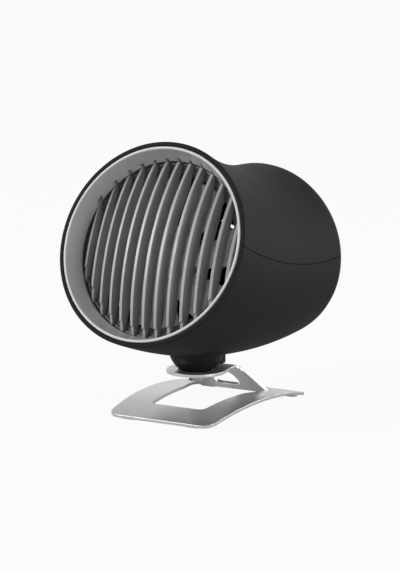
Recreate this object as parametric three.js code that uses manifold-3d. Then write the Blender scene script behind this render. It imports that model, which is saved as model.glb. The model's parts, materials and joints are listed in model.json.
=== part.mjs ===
// A small desk fan: a bent tubular head with a louvred mouth, held by a clamped ball seat
// on a stand bent from one piece of sheet metal. Millimetres and degrees, +Z up.
// The fan blows towards -Y. The swivel axis is the stand's own vertical axis.
import * as THREE from 'three';
import { mergeVertices } from 'three/addons/utils/BufferGeometryUtils.js';
import Module from 'manifold-3d';

// ---- driving dimensions ----

// Clearances
const gap = 0.3; // between pieces that seat on each other
const runGap = 1.2; // round the impeller

// Stand: one strip of sheet, arched, with a tongue bent up out of its window
const sheet = 1.8;
const footLift = 0.3; // sheet's end edges above the table
const standFront = 40.4; // swivel axis to the front edge
const standRear = 61.4; // swivel axis to the rear edge
const archRise = 5.9;
const frontHalfWidth = 32.8;
const middleHalfWidth = 35.2;
const rearHalfWidth = 33.9;
const frontCorner = 8.5;
const rearCorner = 1;
const windowFront = 20.6;
const windowFrontHalf = 16.5;
const windowWaist = 18; // swivel axis back to where the window widens
const windowWaistHalf = 18.8;
const windowCorner = 4;
const kerf = 0.8; // beside the tongue's root
const ringTop = 23; // top face of the neck ring
const ringRadius = 16.4;
const seatRadius = 9.75; // hole that the ball sits in
const bendReach = 20.4; // swivel axis to the tongue's upper bend
const rootReach = 39.9; // swivel axis to the tongue's bend out of the plate
const rootLap = 4; // tongue's sheet inside the plate's
const bendRadius = 3; // to the middle of the sheet
const tongueNeckHalf = 12.6;
const tongueFlare = 11; // down the slope to where the sides run straight
const tongueFlareHalf = 18.7;
const tongueRootHalf = 22.4;
const slopeHoleTop = 2.4; // distances down the slope from the bend
const slopeHoleShoulder = 9.6;
const slopeHoleBottom = 20.6;
const slopeHoleTopHalf = 3;
const slopeHoleShoulderHalf = 7.4;
const slopeHoleBottomHalf = 8.7;
const padWidth = 10;
const padDepth = 4.6;
const padInset = 1.6; // from the sheet's front and rear edges
const frontPadOffset = 20;
const rearPadOffset = 26;

// Neck: ball, clamp bolt, washers and nut
const ballRadius = 15.4;
const ballWall = 1.9;
const nodRange = 25; // how far the head nods forward from rest
const boltRadius = 2;
const boltHeadRadius = 3.6;
const boltHeadHeight = 2.4;
const boltTail = 0.3; // thread past the nut
const sliderAngle = 24; // half angle of the slider's round face
const sliderRim = 1.2;
const cupRadius = 11.6;
const cupThickness = 0.6;
const cupDishRadius = 5;
const cupFlatRadius = 8;
const springWasherRadius = 4.6;
const springWasherThickness = 0.9;
const springWasherSlot = 1;
const nutAcrossFlats = 7;
const nutHeight = 2.1;
const bowlFlangeRadius = 20.6;
const bowlFlangeLift = 4.4; // ball centre to the flange's lower face
const bowlFlangeThickness = 2;
const bowlScrewCircle = 18;

// Head: a tube that bends from the upturned mouth to the level drum
const mouthRadius = 56;
const mouthTilt = 22.3;
const mouthReach = 47.1; // swivel axis forward to the rim's centre
const mouthFloor = 7.4; // ball centre up to the tube's underside at the rim
const mouthPull = 110; // how stiffly the tube leaves the mouth
const drumRadius = 50;
const drumTilt = 2.9;
const drumReach = 70.3; // swivel axis back to the start of the rear rounding
const drumFloor = -7.1; // ball centre up to the drum's underside
const drumPull = 126;
const rearRounding = 11.2;
const wall = 2.1;
const lipRounding = 0.8;
const seamAngleFront = 3.7;
const seamAngleRear = 0.8;

// Socket housing under the head, behind the ball
const housingHalfWidth = 7.2;
const housingFront = 12;
const housingRear = 19.8;
const housingGap = 0.5; // over the neck ring
const socketWidth = 8.9;
const socketHeight = 3.2;
const socketDepth = 4.6;
const socketWall = 0.4;
const socketLift = 3.4; // housing's lower face to the socket's middle

// Mouth funnel and louvres, depths measured behind the rim's plane
const lipWidth = 1.7;
const lipRise = 0.3;
const skirtDepth = 7;
const skirtTaper = 1.2;
const lipGap = 0.5; // between the shell's lining and the funnel
const coneWidth = 3.3; // lip's inner edge to the louvres' ring
const grilleDepth = 11.5;
const domeRise = 11.1;
const louvreBack = 15;
const louvreCount = 13;
const louvreMargin = 4.6; // outermost louvre to the ring
const louvreThickness = 1.5;
const ringWall = 1.6;
const ringSink = 1.4; // grille ring below the louvres' ends
const funnelWall = 1.9;
const ductStep = 5.8; // louvres' ring in to the duct
const ductEnd = 34;
const ductFlangeWidth = 5;
const ductFlangeThickness = 2.6;

// Impeller
const bladeCount = 7;
const bladeThickness = 1.3;
const bladeFront = 18.4;
const bladeBack = 29.4;
const bladeSweep = 14; // degrees from root to tip
const bladeRootSpan = 44; // degrees of the hub that a blade covers
const bladeTipSpan = 34;
const hubRadius = 15;
const hubWall = 1.6;
const hubNose = 17.4;
const hubNoseSlope = 4.5;
const hubNoseDrop = 2.4;
const hubBossRadius = 3.4;

// Motor and its mount
const motorRadius = 12;
const motorLength = 20;
const motorBossRadius = 3.4;
const motorFront = 33.8;
const shaftRadius = 1;
const shaftInMotor = 8;
const cupWall = 1.6;
const motorCupDepth = 13;
const mountRingThickness = 3;
const vaneCount = 5;
const vaneThickness = 2;
const vaneDepth = 7;
const mountScrewInset = 2.2; // from the duct's flange edge
const motorScrewCircle = 8;

// Rear grille, board and button, heights measured out from the start of the rear rounding
const panelThickness = 2;
const flangeOverlap = 3;
const flangeThickness = 1.5;
const flangeWidth = 4; // in from the shells' opening
const slotCount = 16;
const slotWidth = 2.5;
const slotInner = 15;
const slotMiddle = 23.5;
const slotOuter = 32.5;
const rearScrewCircle = 35.4;
const buttonRadius = 6.6;
const buttonProud = 0.9;
const buttonTravel = 0.8;
const buttonFlange = 1.4;
const boardRadius = 13.8;
const boardThickness = 1.6;
const boardDrop = 6.4; // panel's inner face to the board
const boardScrewCircle = 10.9;
const switchSize = 6;
const switchHeight = 1.8;
const connectorSize = [7, 4, 4];

// Screws
const screwRadius = 1;
const screwHeadRadius = 1.9;
const screwHeadHeight = 1.1;
const screwLength = 4.8;
const screwHoleRadius = 1.4;
const bossRadius = 2.5;

// Leads
const leadRadius = 0.9;

// ---- derived places ----

const radians = THREE.MathUtils.degToRad;
const ballHeight = ringTop + Math.sqrt((ballRadius + gap) ** 2 - seatRadius ** 2);
const mouthLift = mouthRadius + mouthFloor;
const drumLift = drumRadius + drumFloor;
const rimSlope = radians(mouthTilt);
const drumSlope = radians(drumTilt);
const openingRadius = drumRadius - rearRounding;
const liningRadius = mouthRadius - wall;
const lipInner = liningRadius - lipGap - lipWidth;
const grilleRadius = lipInner - coneWidth;
const louvrePitch = (grilleRadius - louvreMargin) / ((louvreCount - 1) / 2);
const ductRadius = grilleRadius - ductStep;
const ductFlangeRadius = ductRadius + ductFlangeWidth;
const mountScrewCircle = ductFlangeRadius - mountScrewInset;
const ringUnderside = ringTop - sheet;
const panelInner = rearRounding - panelThickness;
const boardTop = panelInner - boardDrop;
const mountFront = ductEnd + gap;

// ---- solids ----

const wasm = await Module();
wasm.setup();

function toSolid(geometry) {
  const bare = geometry.clone();
  bare.deleteAttribute('normal');
  bare.deleteAttribute('uv');
  const merged = mergeVertices(bare, 1e-4);
  const source = merged.index.array;
  const triangles = [];
  for (let i = 0; i < source.length; i += 3) {
    const [a, b, c] = source.subarray(i, i + 3);
    if (a !== b && b !== c && c !== a) triangles.push(a, b, c);
  }
  const vertProperties = new Float32Array(merged.attributes.position.array);
  const triVerts = new Uint32Array(triangles);
  return new wasm.Manifold(new wasm.Mesh({ numProp: 3, vertProperties, triVerts }));
}

function toGeometry(solid) {
  const mesh = solid.getMesh();
  const geometry = new THREE.BufferGeometry();
  geometry.setAttribute('position', new THREE.BufferAttribute(mesh.vertProperties, mesh.numProp));
  geometry.setIndex(new THREE.BufferAttribute(mesh.triVerts, 1));
  geometry.computeVertexNormals();
  return geometry;
}

function join(first, ...others) {
  return toGeometry(others.reduce((sum, next) => sum.add(toSolid(next)), toSolid(first)));
}

function cut(body, ...tools) {
  return toGeometry(tools.reduce((rest, tool) => rest.subtract(toSolid(tool)), toSolid(body)));
}

function common(first, second) {
  return toGeometry(toSolid(first).intersect(toSolid(second)));
}

function surface(positions, triangles) {
  const geometry = new THREE.BufferGeometry();
  geometry.setAttribute('position', new THREE.Float32BufferAttribute(positions.flat(), 3));
  geometry.setIndex(triangles);
  return geometry;
}

// ---- basic forms ----

// A profile of [radius, height] points, counter-clockwise, turned about Z.
function turned(profile, segments = 32) {
  const points = profile.map(([radius, height]) => new THREE.Vector2(radius, height));
  if (profile[0][0] > 0) points.push(points[0].clone());
  return new THREE.LatheGeometry(points, segments).rotateX(Math.PI / 2);
}

function disc(radius, low, high, segments = 16) {
  return turned([[0, low], [radius, low], [radius, high], [0, high]], segments);
}

function tube(inner, outer, low, high, segments = 32) {
  return turned([[inner, low], [outer, low], [outer, high], [inner, high]], segments);
}

function ball(radius, segments = 40) {
  const rings = segments / 2;
  const profile = [];
  for (let i = 0; i <= rings; i += 1) {
    const angle = -Math.PI / 2 + (Math.PI * i) / rings;
    profile.push([i === 0 || i === rings ? 0 : radius * Math.cos(angle), radius * Math.sin(angle)]);
  }
  return turned(profile, segments);
}

function block(x, y, z) {
  const size = [x[1] - x[0], y[1] - y[0], z[1] - z[0]];
  const middle = [x, y, z].map(([low, high]) => (low + high) / 2);
  return new THREE.BoxGeometry(...size).translate(...middle);
}

function withoutRepeats(points) {
  return points.filter((point, i) => point.distanceTo(points.at(i - 1)) > 1e-3);
}

function upright(shape, low, high, curveSegments = 6) {
  const { shape: outline, holes } = shape.extractPoints(curveSegments);
  const plain = new THREE.Shape(withoutRepeats(outline));
  plain.holes = holes.map((hole) => new THREE.Path(withoutRepeats(hole)));
  const settings = { depth: high - low, bevelEnabled: false };
  return new THREE.ExtrudeGeometry(plain, settings).translate(0, 0, low);
}

// A shape drawn in (y, z) and given a width across X.
function acrossX(shape, low, high, curveSegments = 6) {
  const toSide = new THREE.Matrix4().makeBasis(
    new THREE.Vector3(0, 1, 0),
    new THREE.Vector3(0, 0, 1),
    new THREE.Vector3(1, 0, 0),
  );
  return upright(shape, low, high, curveSegments).applyMatrix4(toSide);
}

// Straight runs with the corners at [x, y, radius] rounded by that radius.
function roundedShape(corners, Kind = THREE.Shape) {
  const outline = new Kind();
  const points = corners.map(([x, y]) => new THREE.Vector2(x, y));
  corners.forEach(([, , radius], i) => {
    const here = points[i];
    const before = points.at(i - 1).clone().sub(here);
    const after = points[(i + 1) % points.length].clone().sub(here);
    const half = Math.acos(before.clone().normalize().dot(after.clone().normalize())) / 2;
    const reach = Math.min(radius / Math.tan(half), before.length() * 0.49, after.length() * 0.49);
    const start = here.clone().add(before.setLength(reach));
    const end = here.clone().add(after.setLength(reach));
    if (i === 0) outline.moveTo(start.x, start.y);
    else outline.lineTo(start.x, start.y);
    outline.quadraticCurveTo(here.x, here.y, end.x, end.y);
  });
  outline.closePath();
  return outline;
}

function roundSlot(from, to, width, Kind = THREE.Path) {
  const half = width / 2;
  const slot = new Kind();
  slot.absarc(to, 0, half, -Math.PI / 2, Math.PI / 2, false);
  slot.absarc(from, 0, half, Math.PI / 2, Math.PI * 1.5, false);
  slot.closePath();
  return slot;
}

// ---- stand ----

const standLength = standFront + standRear;
const standMiddle = (standRear - standFront) / 2;
const archRadius = (standLength ** 2 / 4 + archRise ** 2) / (2 * archRise);
const archCentre = footLift + archRise - archRadius; // height of the arch's centre

function undersideAt(y) {
  return archCentre + Math.sqrt(archRadius ** 2 - (y - standMiddle) ** 2);
}

function archStrip(halfWidth) {
  const spread = Math.asin((standLength / 2 + 1) / archRadius);
  const strip = new THREE.Shape();
  strip.absarc(standMiddle, archCentre, archRadius, Math.PI / 2 + spread, Math.PI / 2 - spread, true);
  strip.absarc(standMiddle, archCentre, archRadius + sheet, Math.PI / 2 - spread, Math.PI / 2 + spread);
  strip.closePath();
  return acrossX(strip, -halfWidth, halfWidth, 9);
}

function standPlan() {
  const plan = new THREE.Shape();
  const middle = [middleHalfWidth * 2 - (frontHalfWidth + rearHalfWidth) / 2, standMiddle];
  plan.moveTo(-frontHalfWidth + frontCorner, -standFront);
  plan.lineTo(frontHalfWidth - frontCorner, -standFront);
  plan.quadraticCurveTo(frontHalfWidth, -standFront, frontHalfWidth, -standFront + frontCorner);
  plan.quadraticCurveTo(...middle, rearHalfWidth, standRear - rearCorner);
  plan.quadraticCurveTo(rearHalfWidth, standRear, rearHalfWidth - rearCorner, standRear);
  plan.lineTo(-rearHalfWidth + rearCorner, standRear);
  plan.quadraticCurveTo(-rearHalfWidth, standRear, -rearHalfWidth, standRear - rearCorner);
  plan.quadraticCurveTo(-middle[0], middle[1], -frontHalfWidth, -standFront + frontCorner);
  plan.quadraticCurveTo(-frontHalfWidth, -standFront, -frontHalfWidth + frontCorner, -standFront);
  plan.holes.push(standWindow());
  return plan;
}

function standWindow() {
  const rearHalf = tongueRootHalf + kerf;
  const rear = rootReach + bendRadius / 2;
  const right = [
    [windowFrontHalf, -windowFront, windowCorner],
    [windowWaistHalf, windowWaist, windowCorner * 3],
    [rearHalf, rootReach - windowCorner, windowCorner],
    [rearHalf, rear, kerf / 2],
  ];
  const left = right.map(([x, y, radius]) => [-x, y, radius]).reverse();
  return roundedShape([...right, ...left], THREE.Path);
}

function plateMiddle(y) {
  return new THREE.Vector2(y, undersideAt(y) + sheet / 2);
}

// The middle line of the tongue in (y, z), from inside the plate up to the neck ring's front.
function tonguePath() {
  const start = plateMiddle(rootReach + rootLap);
  const root = plateMiddle(rootReach);
  const bend = new THREE.Vector2(bendReach, ringTop - sheet / 2);
  const end = new THREE.Vector2(-ringRadius - 1, ringTop - sheet / 2);
  const first = arcCorner(start, root, bend, bendRadius, 4);
  const second = arcCorner(root, bend, end, bendRadius, 5);
  return [start, ...first, ...second, end];
}

function arcCorner(before, corner, after, radius, steps) {
  const back = before.clone().sub(corner).normalize();
  const onward = after.clone().sub(corner).normalize();
  const half = Math.acos(back.dot(onward)) / 2;
  const inward = back.clone().add(onward).normalize();
  const centre = corner.clone().addScaledVector(inward, radius / Math.sin(half));
  const from = corner.clone().addScaledVector(back, radius / Math.tan(half)).sub(centre);
  const turn = Math.sign(back.cross(from)) * (Math.PI - 2 * half);
  const points = [];
  for (let i = 0; i <= steps; i += 1) {
    points.push(from.clone().rotateAround(new THREE.Vector2(), (turn * i) / steps).add(centre));
  }
  return points;
}

// The tongue's section in (y, z): a hair thinner than the plate, to sit inside it where they join.
function stripShape(path) {
  const half = sheet / 2 - 0.03;
  const sides = [[], []];
  path.forEach((point, i) => {
    const before = path[Math.max(i - 1, 0)];
    const after = path[Math.min(i + 1, path.length - 1)];
    const along = after.clone().sub(before).normalize();
    const across = new THREE.Vector2(-along.y, along.x);
    sides[0].push(point.clone().addScaledVector(across, half));
    sides[1].unshift(point.clone().addScaledVector(across, -half));
  });
  const points = sides.flat();
  return new THREE.Shape(THREE.ShapeUtils.isClockWise(points) ? points.reverse() : points);
}

function slopeAngle() {
  const root = plateMiddle(rootReach);
  return Math.atan2(ringTop - sheet / 2 - root.y, rootReach - bendReach);
}

// The tongue seen from above: a round neck ring, straight sides to the bend, then a flare.
function tonguePlan() {
  const neck = new THREE.Vector2(tongueNeckHalf, bendReach - sheet / 2);
  const tangent = neck.angle() - Math.acos(ringRadius / neck.length());
  const flareEnd = bendReach + tongueFlare * Math.cos(slopeAngle());
  const flare = [tongueFlareHalf * 0.91, bendReach + tongueFlare * 0.2];
  const plan = new THREE.Shape();
  plan.absarc(0, 0, ringRadius, Math.PI - tangent, Math.PI * 2 + tangent);
  plan.lineTo(neck.x, neck.y);
  plan.quadraticCurveTo(...flare, tongueFlareHalf, flareEnd);
  plan.lineTo(tongueRootHalf, rootReach);
  plan.lineTo(tongueRootHalf, rootReach + rootLap + 1);
  plan.lineTo(-tongueRootHalf, rootReach + rootLap + 1);
  plan.lineTo(-tongueRootHalf, rootReach);
  plan.lineTo(-tongueFlareHalf, flareEnd);
  plan.quadraticCurveTo(-flare[0], flare[1], -neck.x, neck.y);
  plan.closePath();
  return plan;
}

// The rounded hole in the slope, cut square to the sheet.
function slopeHole() {
  const right = [
    [slopeHoleTopHalf, slopeHoleTop, slopeHoleTopHalf],
    [slopeHoleShoulderHalf, slopeHoleShoulder, slopeHoleTopHalf * 2],
    [slopeHoleBottomHalf, slopeHoleBottom, slopeHoleBottomHalf / 2],
  ];
  const left = right.map(([x, y, radius]) => [-x, y, radius]).reverse();
  const hole = upright(roundedShape([...right, ...left]), -sheet, sheet, 4);
  return hole.rotateX(-slopeAngle()).translate(0, bendReach, ringTop - sheet / 2);
}

function makeStandBracket() {
  const wide = middleHalfWidth + 2;
  const plate = common(archStrip(wide), upright(standPlan(), 0, ringTop, 6));
  const strip = acrossX(stripShape(tonguePath()), -wide, wide);
  const tongue = common(strip, upright(tonguePlan(), 0, ringTop + 1, 8));
  const seat = disc(seatRadius, ringUnderside - 1, ringTop + 1, 32);
  return join(plate, cut(tongue, seat, slopeHole()));
}

// A pad with a flat foot and a top that follows the sheet above it.
function makeFootPad(front, offset) {
  const rear = front + padDepth;
  const wedge = new THREE.Shape([
    new THREE.Vector2(front, 0),
    new THREE.Vector2(rear, 0),
    new THREE.Vector2(rear, undersideAt(rear) - gap),
    new THREE.Vector2(front, undersideAt(front) - gap),
  ]);
  const half = (padWidth - padDepth) / 2;
  const plan = roundSlot(-half, half, padDepth, THREE.Shape);
  const pill = upright(plan, -1, undersideAt(rear) + undersideAt(front), 4);
  const slab = acrossX(wedge, offset - padWidth, offset + padWidth);
  return common(slab, pill.translate(offset, front + padDepth / 2, 0));
}

// ---- neck clamp, on the swivel axis ----

const sliderRadius = ballRadius - ballWall - gap;
const sliderTop = ballHeight - sliderRadius * Math.cos(radians(sliderAngle)) + sliderRim;
const dishTop = ballHeight - ballRadius - gap;
const dishUnderside = dishTop - cupThickness;
const nutTop = dishUnderside - gap;
const nutBottom = nutTop - nutHeight;
const springBottom = sliderTop + gap;
const springTop = springBottom + springWasherThickness;

function makeBallSlider() {
  const bore = boltRadius + gap;
  const profile = [];
  const start = Math.asin(bore / sliderRadius);
  for (let i = 0; i <= 3; i += 1) {
    const angle = start + ((radians(sliderAngle) - start) * i) / 3;
    profile.push([sliderRadius * Math.sin(angle), ballHeight - sliderRadius * Math.cos(angle)]);
  }
  profile.push([profile.at(-1)[0], sliderTop], [bore, sliderTop]);
  return turned(profile, 20);
}

function makeClampBolt() {
  const headBase = springTop + gap;
  const headTop = headBase + boltHeadHeight;
  const body = turned([
    [0, nutBottom - boltTail],
    [boltRadius - 0.4, nutBottom - boltTail],
    [boltRadius, nutBottom - boltTail + 0.4],
    [boltRadius, headBase],
    [boltHeadRadius, headBase],
    [boltHeadRadius, headTop - 1],
    [boltHeadRadius - 0.8, headTop - 0.2],
    [boltHeadRadius - 1.4, headTop],
    [0, headTop],
  ], 16);
  const hexSocket = new THREE.CylinderGeometry(1.45, 1.45, 2.6, 6).rotateX(Math.PI / 2);
  return cut(body, hexSocket.translate(0, 0, headTop));
}

function makeCupWasher() {
  const bore = boltRadius + gap;
  const rim = ringUnderside - gap;
  return turned([
    [bore, dishUnderside],
    [cupDishRadius, dishUnderside],
    [cupFlatRadius + cupThickness * 0.4, rim - cupThickness],
    [cupRadius, rim - cupThickness],
    [cupRadius, rim],
    [cupFlatRadius, rim],
    [cupDishRadius - cupThickness * 0.4, dishTop],
    [bore, dishTop],
  ], 24);
}

function makeSpringWasher() {
  const inner = boltRadius + gap;
  const half = Math.asin(springWasherSlot / 2 / inner);
  const shape = new THREE.Shape();
  shape.absarc(0, 0, springWasherRadius, half, Math.PI * 2 - half);
  shape.absarc(0, 0, inner, Math.PI * 2 - half, half, true);
  shape.closePath();
  return upright(shape, springBottom, springTop, 12);
}

function makeLockNut() {
  const corner = nutAcrossFlats / Math.sqrt(3);
  const hexagon = new THREE.CylinderGeometry(corner, corner, nutHeight, 6).rotateX(Math.PI / 2);
  hexagon.translate(0, 0, (nutTop + nutBottom) / 2);
  const chamfer = corner - nutAcrossFlats / 2;
  const rounded = turned([
    [0, nutBottom],
    [corner - chamfer, nutBottom],
    [corner, nutBottom + chamfer],
    [corner, nutTop - chamfer],
    [corner - chamfer, nutTop],
    [0, nutTop],
  ], 24);
  return cut(common(hexagon, rounded), disc(boltRadius + gap, nutBottom - 1, nutTop + 1));
}

// ---- the bent tube of the head, seen from the ball's centre ----

const mouthPoint = new THREE.Vector2(-mouthReach, mouthLift);
const drumPoint = new THREE.Vector2(drumReach, drumLift);
const mouthLine = new THREE.Vector2(Math.cos(rimSlope), -Math.sin(rimSlope));
const drumLine = new THREE.Vector2(Math.cos(drumSlope), Math.sin(drumSlope));

// Centre, upward normal, radius and seam angle of the tube's skin, inset from its outside.
function tubeStation(share, inset) {
  const middleLine = new THREE.CubicBezierCurve(
    mouthPoint,
    mouthPoint.clone().addScaledVector(mouthLine, mouthPull / 3),
    drumPoint.clone().addScaledVector(drumLine, -drumPull / 3),
    drumPoint,
  );
  const along = middleLine.getTangent(share);
  return {
    centre: middleLine.getPoint(share),
    up: new THREE.Vector2(-along.y, along.x),
    radius: THREE.MathUtils.lerp(mouthRadius, drumRadius, share) - inset,
    seam: radians(THREE.MathUtils.lerp(seamAngleFront, seamAngleRear, share)),
  };
}

function roundingStation(angle, inset) {
  const radius = rearRounding - inset;
  return {
    centre: drumPoint.clone().addScaledVector(drumLine, radius * Math.sin(angle)),
    up: new THREE.Vector2(-drumLine.y, drumLine.x),
    radius: openingRadius + radius * Math.cos(angle),
    seam: radians(seamAngleRear),
  };
}

function skin(inset, stations = 9, roundingSteps = 3) {
  const rows = [];
  for (let i = 0; i <= stations; i += 1) rows.push(tubeStation(i / stations, inset));
  for (let i = 1; i <= roundingSteps; i += 1) {
    rows.push(roundingStation((Math.PI / 2) * (i / roundingSteps), inset));
  }
  return rows;
}

function onRow(row, angle) {
  const lift = row.radius * Math.sin(angle);
  return [row.radius * Math.cos(angle), row.centre.x + row.up.x * lift, row.centre.y + row.up.y * lift];
}

// The outer skin with its front edge rounded, and the inner skin facing it row by row.
function shellRows() {
  const share = lipRounding / mouthPull;
  const rounding = [[0, 1], [0.3, 0.3], [1, 0]];
  const edge = rounding.map(([depth, inset]) => tubeStation(depth * share, inset * lipRounding));
  const facing = rounding.map(([depth]) => tubeStation(depth * share, wall));
  return [[...edge, ...skin(0).slice(1)], [...facing, ...skin(wall).slice(1)]];
}

// Half of the tube's wall, from one seam over to the other.
function halfShell(lower, segments = 18) {
  const [outer, inner] = shellRows();
  const rows = [...outer, ...inner.reverse()];
  const count = rows.length;
  const positions = [];
  for (let j = 0; j <= segments; j += 1) {
    for (const row of rows) {
      const slack = gap / 2 / row.radius;
      const from = lower ? Math.PI - row.seam + slack : row.seam + slack;
      const to = lower ? Math.PI * 2 + row.seam - slack : Math.PI - row.seam - slack;
      positions.push(onRow(row, from + ((to - from) * j) / segments));
    }
  }
  const triangles = [];
  const quad = (a, b, c, d) => triangles.push(a, b, c, a, c, d);
  for (let j = 0; j < segments; j += 1) {
    for (let k = 0; k < count; k += 1) {
      const next = (k + 1) % count;
      quad(j * count + k, j * count + next, (j + 1) * count + next, (j + 1) * count + k);
    }
  }
  const last = segments * count;
  for (let k = 0; k < count / 2 - 1; k += 1) {
    const facing = count - 1 - k;
    quad(k, facing, facing - 1, k + 1);
    quad(last + k, last + k + 1, last + facing - 1, last + facing);
  }
  return surface(positions, triangles);
}

// The whole tube as a solid, to trim bosses to its inside.
function tubeCore(inset, segments = 36) {
  const rows = skin(inset);
  const positions = rows.flatMap((row) => {
    const ring = [];
    for (let j = 0; j < segments; j += 1) ring.push(onRow(row, (Math.PI * 2 * j) / segments));
    return ring;
  });
  const ends = [rows[0], rows.at(-1)].map(({ centre }) => [0, centre.x, centre.y]);
  const front = positions.push(...ends) - 2;
  const triangles = [];
  for (let j = 0; j < segments; j += 1) {
    const next = (j + 1) % segments;
    for (let i = 0; i < rows.length - 1; i += 1) {
      const [a, b] = [i * segments + j, i * segments + next];
      const [c, d] = [b + segments, a + segments];
      triangles.push(a, d, c, a, c, b);
    }
    const lastRow = (rows.length - 1) * segments;
    triangles.push(front, j, next, front + 1, lastRow + next, lastRow + j);
  }
  return surface(positions, triangles);
}

// Places a form drawn about the drum's axis, +Z pointing out of the rear.
function toDrum(geometry) {
  return geometry.rotateX(drumSlope - Math.PI / 2).translate(0, drumReach, drumLift);
}

function rearScrewPlaces() {
  return [45, 135, 225, 315].map((angle) => new THREE.Vector2(
    rearScrewCircle * Math.cos(radians(angle)),
    rearScrewCircle * Math.sin(radians(angle)),
  ));
}

// A screw boss for the rear grille with the web that ties it to the wall.
function rearBoss(place) {
  const top = rearRounding - wall - gap - flangeThickness - gap;
  const low = top - screwLength - 2;
  const angle = Math.atan2(place.y, place.x);
  const post = disc(bossRadius, low, top, 8).translate(place.x, place.y, 0);
  const web = block([rearScrewCircle, drumRadius], [-0.8, 0.8], [low, top]).rotateZ(angle);
  const hole = disc(screwHoleRadius, low + 1, top + 1, 8).translate(place.x, place.y, 0);
  return toDrum(cut(join(post, web), hole));
}

function bowlScrewPlaces() {
  return [45, 135, 225, 315].map((angle) => new THREE.Vector2(
    bowlScrewCircle * Math.cos(radians(angle)),
    bowlScrewCircle * Math.sin(radians(angle)),
  ));
}

function bowlBoss(place) {
  const top = bowlFlangeLift - gap;
  const post = disc(bossRadius, -ballRadius, top, 8);
  const hole = disc(screwHoleRadius, top - screwLength - gap, top + 1, 8);
  return cut(post, hole).translate(place.x, place.y, 0);
}

function makeUpperShell() {
  const core = tubeCore(wall / 2);
  const bosses = rearScrewPlaces().filter((place) => place.y < 0).map(rearBoss);
  return join(halfShell(false), ...bosses.map((boss) => common(boss, core)));
}

// The space that the ball and its neck take in the lower shell.
function bowlSpace() {
  return join(ball(ballRadius + gap, 28), disc(ballRadius + gap, 0, bowlFlangeLift * 2, 28));
}

const housingBase = ringTop + housingGap - ballHeight; // under the ball's centre
const socketMiddle = housingBase + socketLift;

function socketShape(width, height) {
  const corner = height / 2;
  return roundedShape([
    [-width / 2, -height / 2, corner],
    [width / 2, -height / 2, corner],
    [width / 2, height / 2, corner],
    [-width / 2, height / 2, corner],
  ]);
}

// A form drawn upright about +Z, laid so that +Z points backwards out of the housing.
function toSocket(geometry) {
  return geometry.rotateX(-Math.PI / 2).translate(0, housingRear, socketMiddle);
}

function socketHousing() {
  const side = roundedShape([
    [housingFront, housingBase, 0.8],
    [housingRear, housingBase, 0.8],
    [housingRear, 0, 0.8],
    [housingFront, 0, 0.8],
  ]);
  return acrossX(side, -housingHalfWidth, housingHalfWidth, 3);
}

function makeLowerShell() {
  const core = tubeCore(wall / 2);
  const inside = tubeCore(wall);
  const rear = rearScrewPlaces().filter((place) => place.y > 0).map(rearBoss);
  const bosses = [...rear, ...bowlScrewPlaces().map(bowlBoss)];
  const shell = join(
    halfShell(true),
    ...bosses.map((boss) => common(boss, core)),
    cut(socketHousing(), inside),
  );
  const socketOutline = socketShape(socketWidth + 2 * gap, socketHeight + 2 * gap);
  const socketHole = upright(socketOutline, -socketDepth - 2 * gap, 1, 4);
  const leadHole = block([-3.4, 3.4], [housingRear - 3.2, housingRear - 0.7], [socketMiddle, 2]);
  return cut(shell, bowlSpace(), toSocket(socketHole), leadHole);
}

// ---- ball under the head ----

function makeNeckBowl() {
  const steps = 6;
  const arc = (radius, up) => {
    const points = [];
    for (let i = 0; i <= steps; i += 1) {
      const angle = (Math.PI / 2) * (up ? i / steps : 1 - i / steps);
      points.push([i === (up ? 0 : steps) ? 0 : radius * Math.sin(angle), -radius * Math.cos(angle)]);
    }
    return points;
  };
  const flangeTop = bowlFlangeLift + bowlFlangeThickness;
  const body = turned([
    ...arc(ballRadius, true),
    [ballRadius, bowlFlangeLift],
    [bowlFlangeRadius, bowlFlangeLift],
    [bowlFlangeRadius, flangeTop],
    [ballRadius - ballWall, flangeTop],
    ...arc(ballRadius - ballWall, false),
  ], 28);
  const holes = bowlScrewPlaces().map((place) => (
    disc(screwHoleRadius, bowlFlangeLift - 1, flangeTop + 1, 8).translate(place.x, place.y, 0)
  ));
  return cut(body, boltSlot(), ...holes);
}

// The slot that lets the bolt stand still while the ball nods round it.
function boltSlot() {
  const half = boltRadius + gap;
  const play = Math.asin(half / (ballRadius - ballWall));
  const reach = ballRadius * 1.3;
  const start = -Math.PI / 2 - radians(nodRange) - play;
  const shape = new THREE.Shape();
  shape.moveTo(0, 0);
  shape.lineTo(reach * Math.cos(start), reach * Math.sin(start));
  shape.absarc(0, 0, reach, start, -Math.PI / 2 + play);
  shape.closePath();
  return acrossX(shape, -half, half, 8);
}

// ---- screws ----

// A slotted pan-head screw, its head resting on z = 0 and its shank pointing down.
function makeScrew() {
  const body = turned([
    [0, -screwLength],
    [screwRadius, -screwLength + 0.8],
    [screwRadius, gap],
    [screwHeadRadius, gap],
    [screwHeadRadius * 0.7, gap + screwHeadHeight],
    [0, gap + screwHeadHeight],
  ], 7);
  const slot = block([-3, 3], [-0.2, 0.2], [gap + screwHeadHeight * 0.5, gap + screwHeadHeight + 1]);
  return cut(body, slot);
}

// ---- USB socket ----

function makeUsbSocket() {
  const sleeve = socketShape(socketWidth, socketHeight);
  const bore = socketShape(socketWidth - 2 * socketWall, socketHeight - 2 * socketWall);
  const outside = upright(sleeve, -socketDepth, -gap, 4);
  const inside = upright(bore, -socketDepth + socketWall, 1, 4);
  const contactTongue = block([-3.3, 3.3], [-0.35, 0.35], [-socketDepth, -1.2]);
  return toSocket(join(cut(outside, inside), contactTongue));
}

// ---- mouth funnel and louvres, +Z pointing out of the mouth ----

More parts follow.
